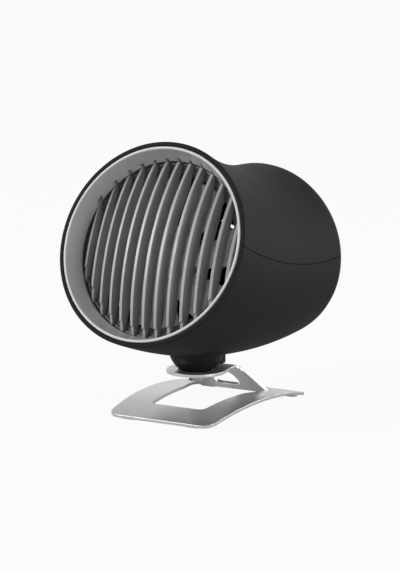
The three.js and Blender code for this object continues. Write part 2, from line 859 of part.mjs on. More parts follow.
function makeMouthFunnel() {
  const outer = liningRadius - lipGap;
  const throat = new THREE.QuadraticBezierCurve(
    new THREE.Vector2(grilleRadius, -grilleDepth),
    new THREE.Vector2(grilleRadius + (lipInner - grilleRadius) * 0.72, -grilleDepth * 0.62),
    new THREE.Vector2(lipInner, -lipRise),
  );
  const cone = throat.getPoints(4).map(({ x, y }) => [x, y]);
  const ductOuter = ductRadius + funnelWall;
  return turned([
    [ductRadius, -ductEnd],
    [ductFlangeRadius, -ductEnd],
    [ductFlangeRadius, -ductEnd + ductFlangeThickness],
    [ductOuter, -ductEnd + ductFlangeThickness],
    [ductOuter, -louvreBack - gap - funnelWall],
    [grilleRadius + funnelWall, -louvreBack - funnelWall],
    [outer - skirtTaper, -skirtDepth],
    [outer, -lipRise],
    [outer - lipWidth * 0.3, lipRise],
    [outer - lipWidth * 0.7, lipRise],
    ...cone.reverse(),
    [grilleRadius, -louvreBack - gap],
    [ductRadius, -louvreBack - gap],
  ], 40);
}

// Height of the louvres' domed front at a distance from the mouth's axis.
function domeHeight(distance) {
  const edge = grilleRadius - gap;
  const radius = (edge ** 2 + domeRise ** 2) / (2 * domeRise);
  return -grilleDepth + domeRise - radius + Math.sqrt(radius ** 2 - distance ** 2);
}

function makeLouvre(offset) {
  const edge = grilleRadius - gap - 0.2;
  const half = Math.sqrt(edge ** 2 - (Math.abs(offset) + louvreThickness / 2) ** 2);
  const steps = 8;
  const outline = new THREE.Shape();
  outline.moveTo(-half, -louvreBack);
  outline.lineTo(half, -louvreBack);
  for (let i = 0; i <= steps; i += 1) {
    const along = half - (2 * half * i) / steps;
    outline.lineTo(along, domeHeight(Math.hypot(along, offset)));
  }
  outline.closePath();
  return acrossX(outline, offset - louvreThickness / 2, offset + louvreThickness / 2);
}

function makeFrontGrille() {
  const outer = grilleRadius - gap;
  const ring = tube(outer - ringWall, outer, -louvreBack, -grilleDepth - ringSink, 40);
  const louvres = [];
  for (let i = 0; i < louvreCount; i += 1) {
    louvres.push(makeLouvre((i - (louvreCount - 1) / 2) * louvrePitch));
  }
  return join(ring, ...louvres);
}

// ---- impeller ----

// One twisted blade from inside the hub's wall to the tip.
function makeBlade(turn) {
  const tipRadius = ductRadius - runGap;
  const radialSteps = 3;
  const chordSteps = 4;
  const rootRadius = hubRadius - hubWall / 2;
  const positions = [];
  for (let i = 0; i <= radialSteps; i += 1) {
    const share = i / radialSteps;
    const radius = THREE.MathUtils.lerp(rootRadius, tipRadius, share);
    const span = radians(THREE.MathUtils.lerp(bladeRootSpan, bladeTipSpan, share));
    const sweep = radians(bladeSweep) * share;
    const depth = (bladeBack - bladeFront - bladeThickness) * THREE.MathUtils.lerp(1, 0.72, share);
    for (let j = 0; j <= chordSteps; j += 1) {
      const along = j / chordSteps;
      const angle = turn + sweep + (along - 0.5) * span;
      const camber = 1.2 * Math.sin(Math.PI * along);
      const height = -(bladeFront + bladeBack) / 2 + (0.5 - along) * depth + camber * 0.5;
      for (const side of [-0.5, 0.5]) {
        positions.push([radius * Math.cos(angle), radius * Math.sin(angle), height + side * bladeThickness]);
      }
    }
  }
  return surface(positions, gridTriangles(radialSteps, chordSteps));
}

// Triangles of a thick sheet whose points come as [row][column][lower, upper].
function gridTriangles(rows, columns) {
  const triangles = [];
  const at = (i, j, side) => (i * (columns + 1) + j) * 2 + side;
  const quad = (a, b, c, d) => triangles.push(a, b, c, a, c, d);
  for (let i = 0; i < rows; i += 1) {
    for (let j = 0; j < columns; j += 1) {
      quad(at(i, j, 1), at(i + 1, j, 1), at(i + 1, j + 1, 1), at(i, j + 1, 1));
      quad(at(i, j, 0), at(i, j + 1, 0), at(i + 1, j + 1, 0), at(i + 1, j, 0));
    }
    quad(at(i, 0, 0), at(i + 1, 0, 0), at(i + 1, 0, 1), at(i, 0, 1));
    quad(at(i + 1, columns, 0), at(i, columns, 0), at(i, columns, 1), at(i + 1, columns, 1));
  }
  for (let j = 0; j < columns; j += 1) {
    quad(at(0, j + 1, 0), at(0, j, 0), at(0, j, 1), at(0, j + 1, 1));
    quad(at(rows, j, 0), at(rows, j + 1, 0), at(rows, j + 1, 1), at(rows, j, 1));
  }
  return triangles;
}

const shaftFront = hubNose + hubWall + gap + 0.4; // depth of the shaft's front end

function makeImpeller() {
  const bore = shaftRadius + gap;
  const hub = turned([
    [hubRadius - hubWall, -bladeBack],
    [hubRadius, -bladeBack],
    [hubRadius, -hubNose - hubNoseDrop],
    [hubRadius - hubNoseSlope * 0.3, -hubNose - hubNoseDrop * 0.33],
    [hubRadius - hubNoseSlope, -hubNose],
    [0, -hubNose],
    [0, -shaftFront + gap],
    [bore, -shaftFront + gap],
    [bore, -bladeBack],
    [hubBossRadius, -bladeBack],
    [hubBossRadius, -hubNose - hubWall],
    [hubRadius - hubNoseSlope, -hubNose - hubWall],
    [hubRadius - hubWall, -hubNose - hubWall - 1.6],
  ], 24);
  const blades = [];
  for (let i = 0; i < bladeCount; i += 1) blades.push(makeBlade((Math.PI * 2 * i) / bladeCount));
  return join(hub, ...blades);
}

// ---- motor and mount ----

const motorBossFront = motorFront - cupWall - gap - 0.6;

function makeMotorShaft() {
  return disc(shaftRadius, -motorFront - shaftInMotor, -shaftFront, 12);
}

function makeMotorCan() {
  const bore = shaftRadius + gap;
  const back = motorFront + motorLength;
  const can = turned([
    [0, -back],
    [motorBossRadius, -back],
    [motorBossRadius + 0.6, -back + 1],
    [motorRadius - 1, -back + 1],
    [motorRadius, -back + 2],
    [motorRadius, -motorFront - 0.6],
    [motorRadius - 0.6, -motorFront],
    [motorBossRadius, -motorFront],
    [motorBossRadius, -motorBossFront],
    [bore, -motorBossFront],
    [bore, -motorFront - shaftInMotor - gap],
    [0, -motorFront - shaftInMotor - gap],
  ], 22);
  const holes = [0, Math.PI].map((angle) => (
    disc(screwHoleRadius, -motorFront - screwLength, -motorFront + 1, 8)
      .translate(motorScrewCircle * Math.cos(angle), motorScrewCircle * Math.sin(angle), 0)
  ));
  return cut(can, ...holes);
}

function mountScrewPlaces() {
  return [45, 135, 225, 315].map((angle) => new THREE.Vector2(
    mountScrewCircle * Math.cos(radians(angle)),
    mountScrewCircle * Math.sin(radians(angle)),
  ));
}

function makeMotorMount() {
  const cupInner = motorRadius + gap;
  const front = motorFront - gap - cupWall;
  const cup = turned([
    [motorBossRadius + gap, -front - cupWall],
    [cupInner, -front - cupWall],
    [cupInner, -front - motorCupDepth],
    [cupInner + cupWall, -front - motorCupDepth],
    [cupInner + cupWall, -front],
    [motorBossRadius + gap, -front],
  ], 24);
  const ringLow = -mountFront - mountRingThickness;
  const ring = tube(ductRadius, ductFlangeRadius, ringLow, -mountFront, 40);
  const vanes = [];
  for (let i = 0; i < vaneCount; i += 1) {
    vanes.push(mountVane((Math.PI * 2 * (i + 0.25)) / vaneCount));
  }
  const holes = mountScrewPlaces().map((place) => screwHole(place, ringLow - 1, -mountFront + 1));
  const motorHoles = [-1, 1].map((side) => (
    screwHole(new THREE.Vector2(side * motorScrewCircle, 0), -front - cupWall - 1, -front + 1)
  ));
  return cut(join(cup, ring, ...vanes), ...holes, ...motorHoles);
}

function screwHole(place, low, high) {
  return disc(screwHoleRadius, low, high, 8).translate(place.x, place.y, 0);
}

// A vane from the motor's cup to the ring, leaning to straighten the air.
function mountVane(turn) {
  const inner = motorRadius + gap + cupWall / 2;
  const outer = ductRadius + 1;
  const rows = 2;
  const columns = 2;
  const positions = [];
  for (let i = 0; i <= rows; i += 1) {
    const radius = THREE.MathUtils.lerp(inner, outer, i / rows);
    for (let j = 0; j <= columns; j += 1) {
      const depth = mountFront + 0.4 + ((vaneDepth - 0.8) * j) / columns;
      const lean = 2.2 * Math.sin((Math.PI / 2) * (j / columns));
      for (const side of [-0.5, 0.5]) {
        const across = lean + side * vaneThickness;
        const [c, s] = [Math.cos(turn), Math.sin(turn)];
        positions.push([radius * c - across * s, radius * s + across * c, -depth]);
      }
    }
  }
  return surface(positions, gridTriangles(rows, columns));
}

function makeFunnelWithHoles() {
  const holes = mountScrewPlaces().map((place) => (
    screwHole(place, -ductEnd - 1, -ductEnd + ductFlangeThickness + 1)
  ));
  return cut(makeMouthFunnel(), ...holes);
}

// ---- rear grille, board and button, +Z pointing out of the rear ----

function radialSlots(from, to, offset) {
  const slots = [];
  for (let i = 0; i < slotCount; i += 1) {
    const turn = (Math.PI * 2 * (i + offset)) / slotCount;
    const slot = roundSlot(from, to, slotWidth).getPoints(1);
    slots.push(new THREE.Path(slot.map((point) => point.rotateAround(new THREE.Vector2(), turn))));
  }
  return slots;
}

const buttonBore = buttonRadius + gap;
const flangeTopHeight = rearRounding - wall - gap;

function makeRearGrille() {
  const panel = new THREE.Shape();
  panel.absarc(0, 0, openingRadius - gap, 0, Math.PI * 2);
  panel.holes.push(...radialSlots(slotInner, slotOuter, 0), ...radialSlots(slotMiddle, slotOuter, 0.5));
  const bore = disc(buttonBore, panelInner - 1, rearRounding + 1, 24);
  const face = cut(upright(panel, panelInner, rearRounding, 20), bore);
  const flangeLow = flangeTopHeight - flangeThickness;
  const rim = turned([
    [openingRadius - gap - flangeWidth, flangeLow],
    [openingRadius + flangeOverlap, flangeLow],
    [openingRadius + flangeOverlap, flangeTopHeight - 0.9],
    [openingRadius - gap, flangeTopHeight],
    [openingRadius - gap, rearRounding - 0.5],
    [openingRadius - gap - flangeWidth, rearRounding - 0.5],
  ], 40);
  const posts = boardScrewPlaces().map((place) => (
    cut(
      disc(bossRadius, boardTop + gap, panelInner + 0.5, 8),
      disc(screwHoleRadius, boardTop, panelInner - 0.6, 8),
    ).translate(place.x, place.y, 0)
  ));
  const holes = rearScrewPlaces().map((place) => (
    disc(screwHoleRadius, flangeLow - 1, rearRounding + 1, 8).translate(place.x, place.y, 0)
  ));
  const recesses = rearScrewPlaces().map((place) => (
    disc(screwHeadRadius + gap, rearRounding - screwHeadHeight - gap, rearRounding + 1, 10)
      .translate(place.x, place.y, 0)
  ));
  return cut(join(face, rim, ...posts), ...holes, ...recesses);
}

function boardScrewPlaces() {
  return [90, 210, 330].map((angle) => new THREE.Vector2(
    boardScrewCircle * Math.cos(radians(angle)),
    boardScrewCircle * Math.sin(radians(angle)),
  ));
}

function makeControlBoard() {
  const outline = new THREE.Shape();
  outline.absarc(0, 0, boardRadius, 0, Math.PI * 2);
  boardScrewPlaces().forEach((place) => {
    outline.holes.push(new THREE.Path().absarc(place.x, place.y, screwHoleRadius, 0, Math.PI * 2));
  });
  return upright(outline, boardTop - boardThickness, boardTop, 6);
}

const switchTop = boardTop + gap + switchHeight;

function makeButtonSwitch() {
  const half = switchSize / 2;
  const body = block([-half, half], [-half, half], [boardTop + gap, switchTop - 0.5]);
  return join(body, disc(1.6, switchTop - 1, switchTop, 16));
}

function makePowerButton() {
  const flangeTop = panelInner - gap;
  const flangeLow = flangeTop - 1;
  const stemEnd = switchTop + buttonTravel + gap;
  const faceTop = rearRounding + buttonProud;
  return turned([
    [0, stemEnd],
    [1.5, stemEnd],
    [1.5, flangeLow],
    [buttonRadius + buttonFlange, flangeLow],
    [buttonRadius + buttonFlange, flangeTop],
    [buttonRadius, flangeTop],
    [buttonRadius, faceTop - 0.6],
    [buttonRadius - 0.6, faceTop],
    [buttonRadius * 0.5, faceTop - 0.35],
    [0, faceTop - 0.45],
  ], 20);
}

function makeLeadConnector() {
  const [x, y, z] = connectorSize;
  const low = boardTop - boardThickness - gap - z;
  const body = block([-x / 2, x / 2], [-y / 2, y / 2], [low, low + z]);
  return cut(body, block([-x / 2 + 0.8, x / 2 - 0.8], [-y / 2 + 0.8, y / 2 - 0.8], [low - 1, low + z - 1.2]));
}

// ---- leads, in the head's own axes ----

function lead(points, offset) {
  const circle = new THREE.Shape().absarc(0, 0, leadRadius, 0, Math.PI * 2);
  const path = new THREE.CatmullRomCurve3(points.map(([y, z]) => new THREE.Vector3(offset, y, z)));
  const settings = { steps: 14, bevelEnabled: false, extrudePath: path, curveSegments: 3 };
  return new THREE.ExtrudeGeometry(circle, settings);
}

// A point on the mouth's axis at a depth, in the head's (y, z).
function onMouthAxis(depth, below = 0) {
  const point = mouthPoint.clone().addScaledVector(mouthLine, depth);
  return [point.x + mouthLine.y * below, point.y - mouthLine.x * below];
}

// A point on the drum's axis at a height, in the head's (y, z).
function onDrumAxis(height, below = 0) {
  const point = drumPoint.clone().addScaledVector(drumLine, height);
  return [point.x + drumLine.y * below, point.y - drumLine.x * below];
}

const plugEnd = boardTop - boardThickness - gap - connectorSize[2] - gap;

function makeMotorLeads() {
  const start = onMouthAxis(motorFront + motorLength + gap);
  const end = onDrumAxis(plugEnd);
  const away = onMouthAxis(motorFront + motorLength + 6);
  const near = onDrumAxis(plugEnd - 6);
  const middle = [(away[0] + near[0]) / 2, (away[1] + near[1]) / 2 - 3];
  return lead([start, away, middle, near, end], -1.6);
}

function makePowerLeads() {
  const socketEnd = housingRear - 1.95;
  const start = [socketEnd, socketMiddle + socketHeight / 2 + gap];
  const floor = [socketEnd + 0.2, -0.9];
  const past = [bowlFlangeRadius + 2 * bossRadius, 0.6];
  const end = onDrumAxis(plugEnd);
  const near = onDrumAxis(plugEnd - 8, 9);
  const turn = onDrumAxis(plugEnd - 3, 0.4);
  return lead([start, floor, past, near, turn, end], 1.6);
}

// ---- materials ----

function finish(colour, roughness, metalness) {
  return new THREE.MeshStandardMaterial({ color: colour, roughness, metalness });
}

const satinSteel = finish(0xc9cacc, 0.32, 1);
const blackPlastic = finish(0x232324, 0.45, 0);
const greyPlastic = finish(0x7c7c80, 0.4, 0.3);
const bladePlastic = finish(0xb9b9bc, 0.5, 0);
const clearRubber = finish(0xd9d9d6, 0.7, 0);
const zincSteel = finish(0xd0d1d2, 0.28, 1);
const blackSteel = finish(0x303032, 0.5, 1);
const boardGreen = finish(0x1d5a36, 0.6, 0);
const whitePlastic = finish(0xe6e4dc, 0.55, 0);
const leadSheath = finish(0x8a1c1c, 0.6, 0);

// ---- assembly ----

function part(parent, name, geometry, material) {
  const mesh = new THREE.Mesh(geometry, material);
  mesh.name = name;
  parent.add(mesh);
  return mesh;
}

function frameGroup(parent, y, z, turn) {
  const group = new THREE.Group();
  group.position.set(0, y, z);
  group.rotation.x = turn;
  parent.add(group);
  return group;
}

function addStand(fan) {
  part(fan, 'stand_bracket', makeStandBracket(), satinSteel);
  const frontEdge = -standFront + padInset;
  const rearEdge = standRear - padInset - padDepth;
  const pads = [
    ['foot_pad_front_left', frontEdge, -frontPadOffset],
    ['foot_pad_front_right', frontEdge, frontPadOffset],
    ['foot_pad_rear_left', rearEdge, -rearPadOffset],
    ['foot_pad_rear_right', rearEdge, rearPadOffset],
  ];
  pads.forEach(([name, ...place]) => part(fan, name, makeFootPad(...place), clearRubber));
}

function addClamp(fan) {
  part(fan, 'clamp_bolt', makeClampBolt(), zincSteel);
  part(fan, 'ball_slider', makeBallSlider(), zincSteel);
  part(fan, 'cup_washer', makeCupWasher(), zincSteel);
  part(fan, 'spring_washer', makeSpringWasher(), blackSteel);
  part(fan, 'lock_nut', makeLockNut(), zincSteel);
}

function addScrews(parent, name, places, height, flip = false) {
  places.forEach((place, i) => {
    const screw = part(parent, `${name}_${i + 1}`, makeScrew(), blackSteel);
    screw.position.set(place.x, place.y, height);
    if (flip) screw.rotation.x = Math.PI;
  });
}

function addHousing(head) {
  part(head, 'upper_shell', makeUpperShell(), blackPlastic);
  part(head, 'lower_shell', makeLowerShell(), blackPlastic);
  part(head, 'neck_bowl', makeNeckBowl(), blackPlastic);
  part(head, 'usb_socket', makeUsbSocket(), zincSteel);
  addScrews(head, 'bowl_screw', bowlScrewPlaces(), bowlFlangeLift + bowlFlangeThickness);
}

function addMouth(head) {
  const mouth = frameGroup(head, -mouthReach, mouthLift, Math.PI / 2 - rimSlope);
  const motorPlaces = [-1, 1].map((side) => new THREE.Vector2(side * motorScrewCircle, 0));
  part(mouth, 'mouth_funnel', makeFunnelWithHoles(), greyPlastic);
  part(mouth, 'front_grille', makeFrontGrille(), greyPlastic);
  part(mouth, 'impeller', makeImpeller(), bladePlastic);
  part(mouth, 'motor_shaft', makeMotorShaft(), zincSteel);
  part(mouth, 'motor_mount', makeMotorMount(), blackPlastic);
  part(mouth, 'motor_can', makeMotorCan(), zincSteel);
  addScrews(mouth, 'motor_screw', motorPlaces, -motorFront + gap + cupWall);
  addScrews(mouth, 'mount_screw', mountScrewPlaces(), -mountFront - mountRingThickness, true);
}

function addRear(head) {
  const drum = frameGroup(head, drumReach, drumLift, drumSlope - Math.PI / 2);
  part(drum, 'rear_grille', makeRearGrille(), blackPlastic);
  part(drum, 'power_button', makePowerButton(), greyPlastic);
  part(drum, 'control_board', makeControlBoard(), boardGreen);
  part(drum, 'button_switch', makeButtonSwitch(), blackSteel);
  part(drum, 'lead_connector', makeLeadConnector(), whitePlastic);
  addScrews(drum, 'rear_screw', rearScrewPlaces(), rearRounding - screwHeadHeight - gap);
  addScrews(drum, 'board_screw', boardScrewPlaces(), boardTop - boardThickness, true);
}

function buildFan() {
  const fan = new THREE.Group();
  addStand(fan);
  addClamp(fan);
  const head = frameGroup(fan, 0, ballHeight, 0);
  addHousing(head);
  addMouth(head);
  addRear(head);
  part(head, 'motor_leads', makeMotorLeads(), leadSheath);
  part(head, 'power_leads', makePowerLeads(), leadSheath);
  return fan;
}

// The origin is under the middle of the whole fan, on the table.
function centred(fan) {
  const box = new THREE.Box3().setFromObject(fan, true);
  fan.position.y = -(box.min.y + box.max.y) / 2;
  const model = new THREE.Group();
  model.add(fan);
  return model;
}

export default centred(buildFan());
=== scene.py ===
# A small desk fan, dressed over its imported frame. Everything is in metres.
import json
import math

import bpy
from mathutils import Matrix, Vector


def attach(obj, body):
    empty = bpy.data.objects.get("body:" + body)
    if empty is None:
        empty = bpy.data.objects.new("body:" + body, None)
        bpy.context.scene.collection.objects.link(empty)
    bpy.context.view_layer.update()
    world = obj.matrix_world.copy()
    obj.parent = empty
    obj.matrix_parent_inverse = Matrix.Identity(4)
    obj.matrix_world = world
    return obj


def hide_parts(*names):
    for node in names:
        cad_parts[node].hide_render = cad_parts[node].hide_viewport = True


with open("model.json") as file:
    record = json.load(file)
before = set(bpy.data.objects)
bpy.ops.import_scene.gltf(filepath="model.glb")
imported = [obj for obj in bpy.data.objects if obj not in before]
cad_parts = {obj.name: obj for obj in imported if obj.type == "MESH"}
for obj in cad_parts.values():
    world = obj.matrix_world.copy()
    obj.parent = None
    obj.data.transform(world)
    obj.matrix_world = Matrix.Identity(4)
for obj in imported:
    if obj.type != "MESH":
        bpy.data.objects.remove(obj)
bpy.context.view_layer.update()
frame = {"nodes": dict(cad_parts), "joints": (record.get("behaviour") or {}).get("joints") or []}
print("frame loaded")

joints = {joint["name"]: joint for joint in frame["joints"]}
swivelPoint = Vector(joints["swivel"]["pos_m"])
ballCentre = Vector(joints["tilt"]["pos_m"])
mouthAxis = Vector(joints["impeller_spin"]["axis"]).normalized()  # out of the mouth
drumAxis = -Vector(joints["button_press"]["axis"]).normalized()  # out of the rear
upward = Vector((0, 0, 1))
mm = 0.001


def setMode(mode):
    bpy.ops.object.mode_set(mode=mode)


def deselectAll():
    if bpy.context.object and bpy.context.object.mode != "OBJECT":
        setMode("OBJECT")
    bpy.ops.object.select_all(action="DESELECT")


def onlySelect(piece):
    deselectAll()
    piece.select_set(True)
    bpy.context.view_layer.objects.active = piece


def namedPiece(name):
    piece = bpy.context.object
    piece.name = name
    piece.data.name = name
    return piece


def settle(piece, smoothAngle=32):
    # place, turn and size go into the mesh
    onlySelect(piece)
    bpy.ops.object.transform_apply(location=True, rotation=True, scale=True)
    bpy.ops.object.shade_smooth_by_angle(angle=math.radians(smoothAngle))
    return piece


def settleFlat(piece, smoothAngle=40):
    # as settle, with the shading of flat faces kept flat up to their rounded edges
    settle(piece, smoothAngle)
    evener = piece.modifiers.new("evenFlats", "WEIGHTED_NORMAL")
    evener.keep_sharp = True
    applyModifiers(piece)
    return piece


def editAll(piece):
    onlySelect(piece)
    setMode("EDIT")
    bpy.ops.mesh.select_all(action="SELECT")


def tidyNormals(piece):
    editAll(piece)
    bpy.ops.mesh.remove_doubles(threshold=1e-6)
    bpy.ops.mesh.normals_make_consistent(inside=False)
    setMode("OBJECT")
    return piece


def applyModifiers(piece):
    onlySelect(piece)
    for modifier in list(piece.modifiers):
        bpy.ops.object.modifier_apply(modifier=modifier.name)


def roundEdges(piece, width, segments=3, angle=35, clamp=True):
    bevel = piece.modifiers.new("edgeRound", "BEVEL")
    bevel.width = width
    bevel.segments = segments
    bevel.limit_method = "ANGLE"
    bevel.angle_limit = math.radians(angle)
    bevel.use_clamp_overlap = clamp
    applyModifiers(piece)


def combine(piece, tool, operation):
    modifier = piece.modifiers.new(operation.lower(), "BOOLEAN")
    modifier.operation = operation
    modifier.solver = "EXACT"
    modifier.object = tool
    applyModifiers(piece)
    bpy.data.objects.remove(tool)
    return piece


def cut(piece, *tools):
    for tool in tools:
        combine(piece, tool, "DIFFERENCE")
    return piece


def joinPieces(name, pieces):
    deselectAll()
    for piece in pieces:
        piece.select_set(True)
    bpy.context.view_layer.objects.active = pieces[0]
    bpy.ops.object.join()
    return namedPiece(name)


def duplicate(piece, name):
    onlySelect(piece)
    bpy.ops.object.duplicate()
    return namedPiece(name)


def evenShares(count):
    # even steps from 0 to 1
    return [step / count for step in range(count + 1)]


def axisTurn(axis):
    # turn about X that carries +Z onto an axis in the YZ plane
    return math.atan2(-axis.y, axis.z)


def ringStack(name, rings, vertices=96, closed=False):
    # rings are (centre, turn about X, radius), swept from the first to the last
    centre, turn, radius = rings[0]
    deselectAll()
    bpy.ops.mesh.primitive_circle_add(vertices=vertices, radius=radius, location=centre, rotation=(turn, 0, 0))
    piece = namedPiece(name)
    editAll(piece)
    if closed:
        extrude = bpy.ops.mesh.extrude_edges_move
    else:
        extrude = bpy.ops.mesh.extrude_region_move
        bpy.ops.mesh.edge_face_add()
        bpy.ops.mesh.select_all(action="SELECT")
    for before, after in zip(rings, rings[1:]):
        extrude(TRANSFORM_OT_translate={"value": Vector(after[0]) - Vector(before[0])})
        if abs(after[1] - before[1]) > 1e-9:
            bpy.ops.transform.rotate(value=before[1] - after[1], orient_axis="X", center_override=after[0])
        if abs(after[2] - before[2]) > 1e-9:
            share = after[2] / before[2]
            bpy.ops.transform.resize(value=(share, share, share), center_override=after[0])
    if closed:
        bridgeEnds()
    return settle(tidyNormals(piece))


def bridgeEnds():
    bpy.ops.mesh.select_all(action="DESELECT")
    bpy.ops.mesh.select_mode(type="EDGE")
    bpy.ops.mesh.select_non_manifold(use_boundary=True)
    bpy.ops.mesh.bridge_edge_loops()
    bpy.ops.mesh.select_mode(type="VERT")


def turnedAbout(origin, axis, profile):
    # profile points are (radius, height along the axis) in millimetres
    turn = axisTurn(axis)
    return [(origin + axis * height * mm, turn, max(radius, 0.01) * mm) for radius, height in profile]


def uprightRing(name, profile, vertices=96, closed=False):
    return ringStack(name, turnedAbout(Vector(), upward, profile), vertices, closed)


def squareProfile(inner, outer, low, high):
    return [(inner, low), (outer, low), (outer, high), (inner, high)]


def boxPiece(name, low, high):
    deselectAll()
    low, high = Vector(low), Vector(high)
    bpy.ops.mesh.primitive_cube_add(size=1, location=(low + high) / 2, scale=high - low)
    return settle(namedPiece(name))


def gridPiece(name, across, along):
    deselectAll()
    bpy.ops.mesh.primitive_grid_add(x_subdivisions=across, y_subdivisions=along, size=1)
    return namedPiece(name)


def flatPiece(name, outline, low, high):
    # an outline of (x, y) made solid between two heights, all in millimetres
    deselectAll()
    bpy.ops.mesh.primitive_circle_add(vertices=len(outline), radius=1, fill_type="NGON")
    piece = namedPiece(name)
    for vertex, (x, y) in zip(piece.data.vertices, outline):
        vertex.co = Vector((x, y, low)) * mm
    editAll(piece)
    bpy.ops.mesh.extrude_region_move(TRANSFORM_OT_translate={"value": (0, 0, (high - low) * mm)})
    return tidyNormals(piece)


def eased(start, corner, end, steps=8):
    # points of a smooth corner
    start, corner, end = Vector(start), Vector(corner), Vector(end)
    return [start * (1 - share) ** 2 + corner * 2 * share * (1 - share) + end * share ** 2
            for share in evenShares(steps)]


def roundedOutline(corners, steps=8):
    # straight runs between (x, y, radius) corners, each corner eased by its radius
    spots = [Vector(corner[:2]) for corner in corners]
    points = []
    for index, (spot, corner) in enumerate(zip(spots, corners)):
        before = spots[index - 1] - spot
        after = spots[(index + 1) % len(spots)] - spot
        reach = corner[2] / math.tan(before.angle(after) / 2)
        reach = min(reach, before.length * 0.49, after.length * 0.49)
        points += eased(spot + before.normalized() * reach, spot, spot + after.normalized() * reach, steps)
    return points


def mirroredCorners(right):
    return right + [(-corner[0], *corner[1:]) for corner in reversed(right)]


def circleOutline(radius, vertices=96):
    turns = [math.tau * step / vertices for step in range(vertices)]
    return [(radius * math.cos(turn), radius * math.sin(turn)) for turn in turns]


def slotOutline(start, end, width, steps=8):
    # a round-ended slot along X
    points = []
    for centre, first in ((end, -math.pi / 2), (start, math.pi / 2)):
        for share in evenShares(steps):
            turn = first + math.pi * share
            points.append((centre + math.cos(turn) * width / 2, math.sin(turn) * width / 2))
    return points


def cutAcross(piece, places):
    # edge rows across a flat strip at these places along Y, in millimetres, to bend it by
    editAll(piece)
    for place in places:
        bpy.ops.mesh.select_all(action="SELECT")
        bpy.ops.mesh.bisect(plane_co=(0, place * mm, 0), plane_no=(0, 1, 0))
    setMode("OBJECT")


def setOnAxis(piece, origin, axis):
    # carries a piece drawn upright at the origin onto an axis in the YZ plane
    onlySelect(piece)
    piece.rotation_euler = (axisTurn(axis), 0, 0)
    piece.location = origin
    bpy.ops.object.transform_apply(location=True, rotation=True, scale=True)
    return piece


def newMaterial(name):
    material = bpy.data.materials.new(name)
    material.use_nodes = True
    return material, material.node_tree.nodes["Principled BSDF"]


def mathNode(tree, operation, first, second):
    # a node on two outputs, or on an output and a number
    node = tree.nodes.new("ShaderNodeMath")
    node.operation = operation
    tree.links.new(first, node.inputs[0])
    if isinstance(second, (int, float)):
        node.inputs[1].default_value = second
    else:
        tree.links.new(second, node.inputs[1])
    return node.outputs[0]


def rangeNode(tree, source, low, high, fromLow=0, fromHigh=1):
    # maps one range onto another
    node = tree.nodes.new("ShaderNodeMapRange")
    for key, value in (("From Min", fromLow), ("From Max", fromHigh), ("To Min", low), ("To Max", high)):
        node.inputs[key].default_value = value
    tree.links.new(source, node.inputs["Value"])
    return node.outputs["Result"]


def objectNoise(material, scale, detail, stretch=(1, 1, 1)):
    # a noise pattern fixed to the object, stretched along chosen axes
    tree = material.node_tree
    coordinates, mapping, noise = (tree.nodes.new(kind) for kind in (
        "ShaderNodeTexCoord", "ShaderNodeMapping", "ShaderNodeTexNoise"))
    mapping.inputs["Scale"].default_value = stretch
    noise.inputs["Scale"].default_value = scale
    noise.inputs["Detail"].default_value = detail
    tree.links.new(coordinates.outputs["Object"], mapping.inputs["Vector"])
    tree.links.new(mapping.outputs["Vector"], noise.inputs["Vector"])
    return noise.outputs["Fac"]


noiseSpan = 0.3, 0.7  # where most of a noise pattern lies


def tint(material, source, dark, light):
    ramp = material.node_tree.nodes.new("ShaderNodeValToRGB")
    for element, position, colour in zip(ramp.color_ramp.elements, noiseSpan, (dark, light)):
        element.position = position
        element.color = (*colour, 1)
    material.node_tree.links.new(source, ramp.inputs["Fac"])
    return ramp.outputs["Color"]


def sheen(material, shader, source, roughness, sway):
    # a roughness that wanders a little over the piece
    value = rangeNode(material.node_tree, source, roughness - sway, roughness + sway, *noiseSpan)
    material.node_tree.links.new(value, shader.inputs["Roughness"])


def bump(material, shader, source, strength, distance):
    node = material.node_tree.nodes.new("ShaderNodeBump")
    node.inputs["Strength"].default_value = strength
    node.inputs["Distance"].default_value = distance
    material.node_tree.links.new(source, node.inputs["Height"])
    material.node_tree.links.new(node.outputs["Normal"], shader.inputs["Normal"])


def mouldedPlastic(name, dark, light, roughness, grain=2600, depth=0.00002, specular=0.5):
    # a fine spark-eroded grain with slow variation in colour and gloss
    material, shader = newMaterial(name)
    shader.inputs["Specular IOR Level"].default_value = specular
    slow, fine = objectNoise(material, 38, 3), objectNoise(material, grain, 2)
    material.node_tree.links.new(tint(material, slow, dark, light), shader.inputs["Base Color"])
    sheen(material, shader, slow, roughness, 0.03)
    bump(material, shader, fine, 0.25, depth)
    return material


def satinMetal(name, dark, light, roughness, metallic=1, stretch=(1, 1, 1)):
    # fine drawn lines along one axis
    material, shader = newMaterial(name)
    shader.inputs["Metallic"].default_value = metallic
    slow, drawn = objectNoise(material, 30, 2), objectNoise(material, 900, 4, stretch)
    material.node_tree.links.new(tint(material, drawn, dark, light), shader.inputs["Base Color"])
    sheen(material, shader, slow, roughness, 0.04)
    bump(material, shader, drawn, 0.12, 0.00001)
    return material


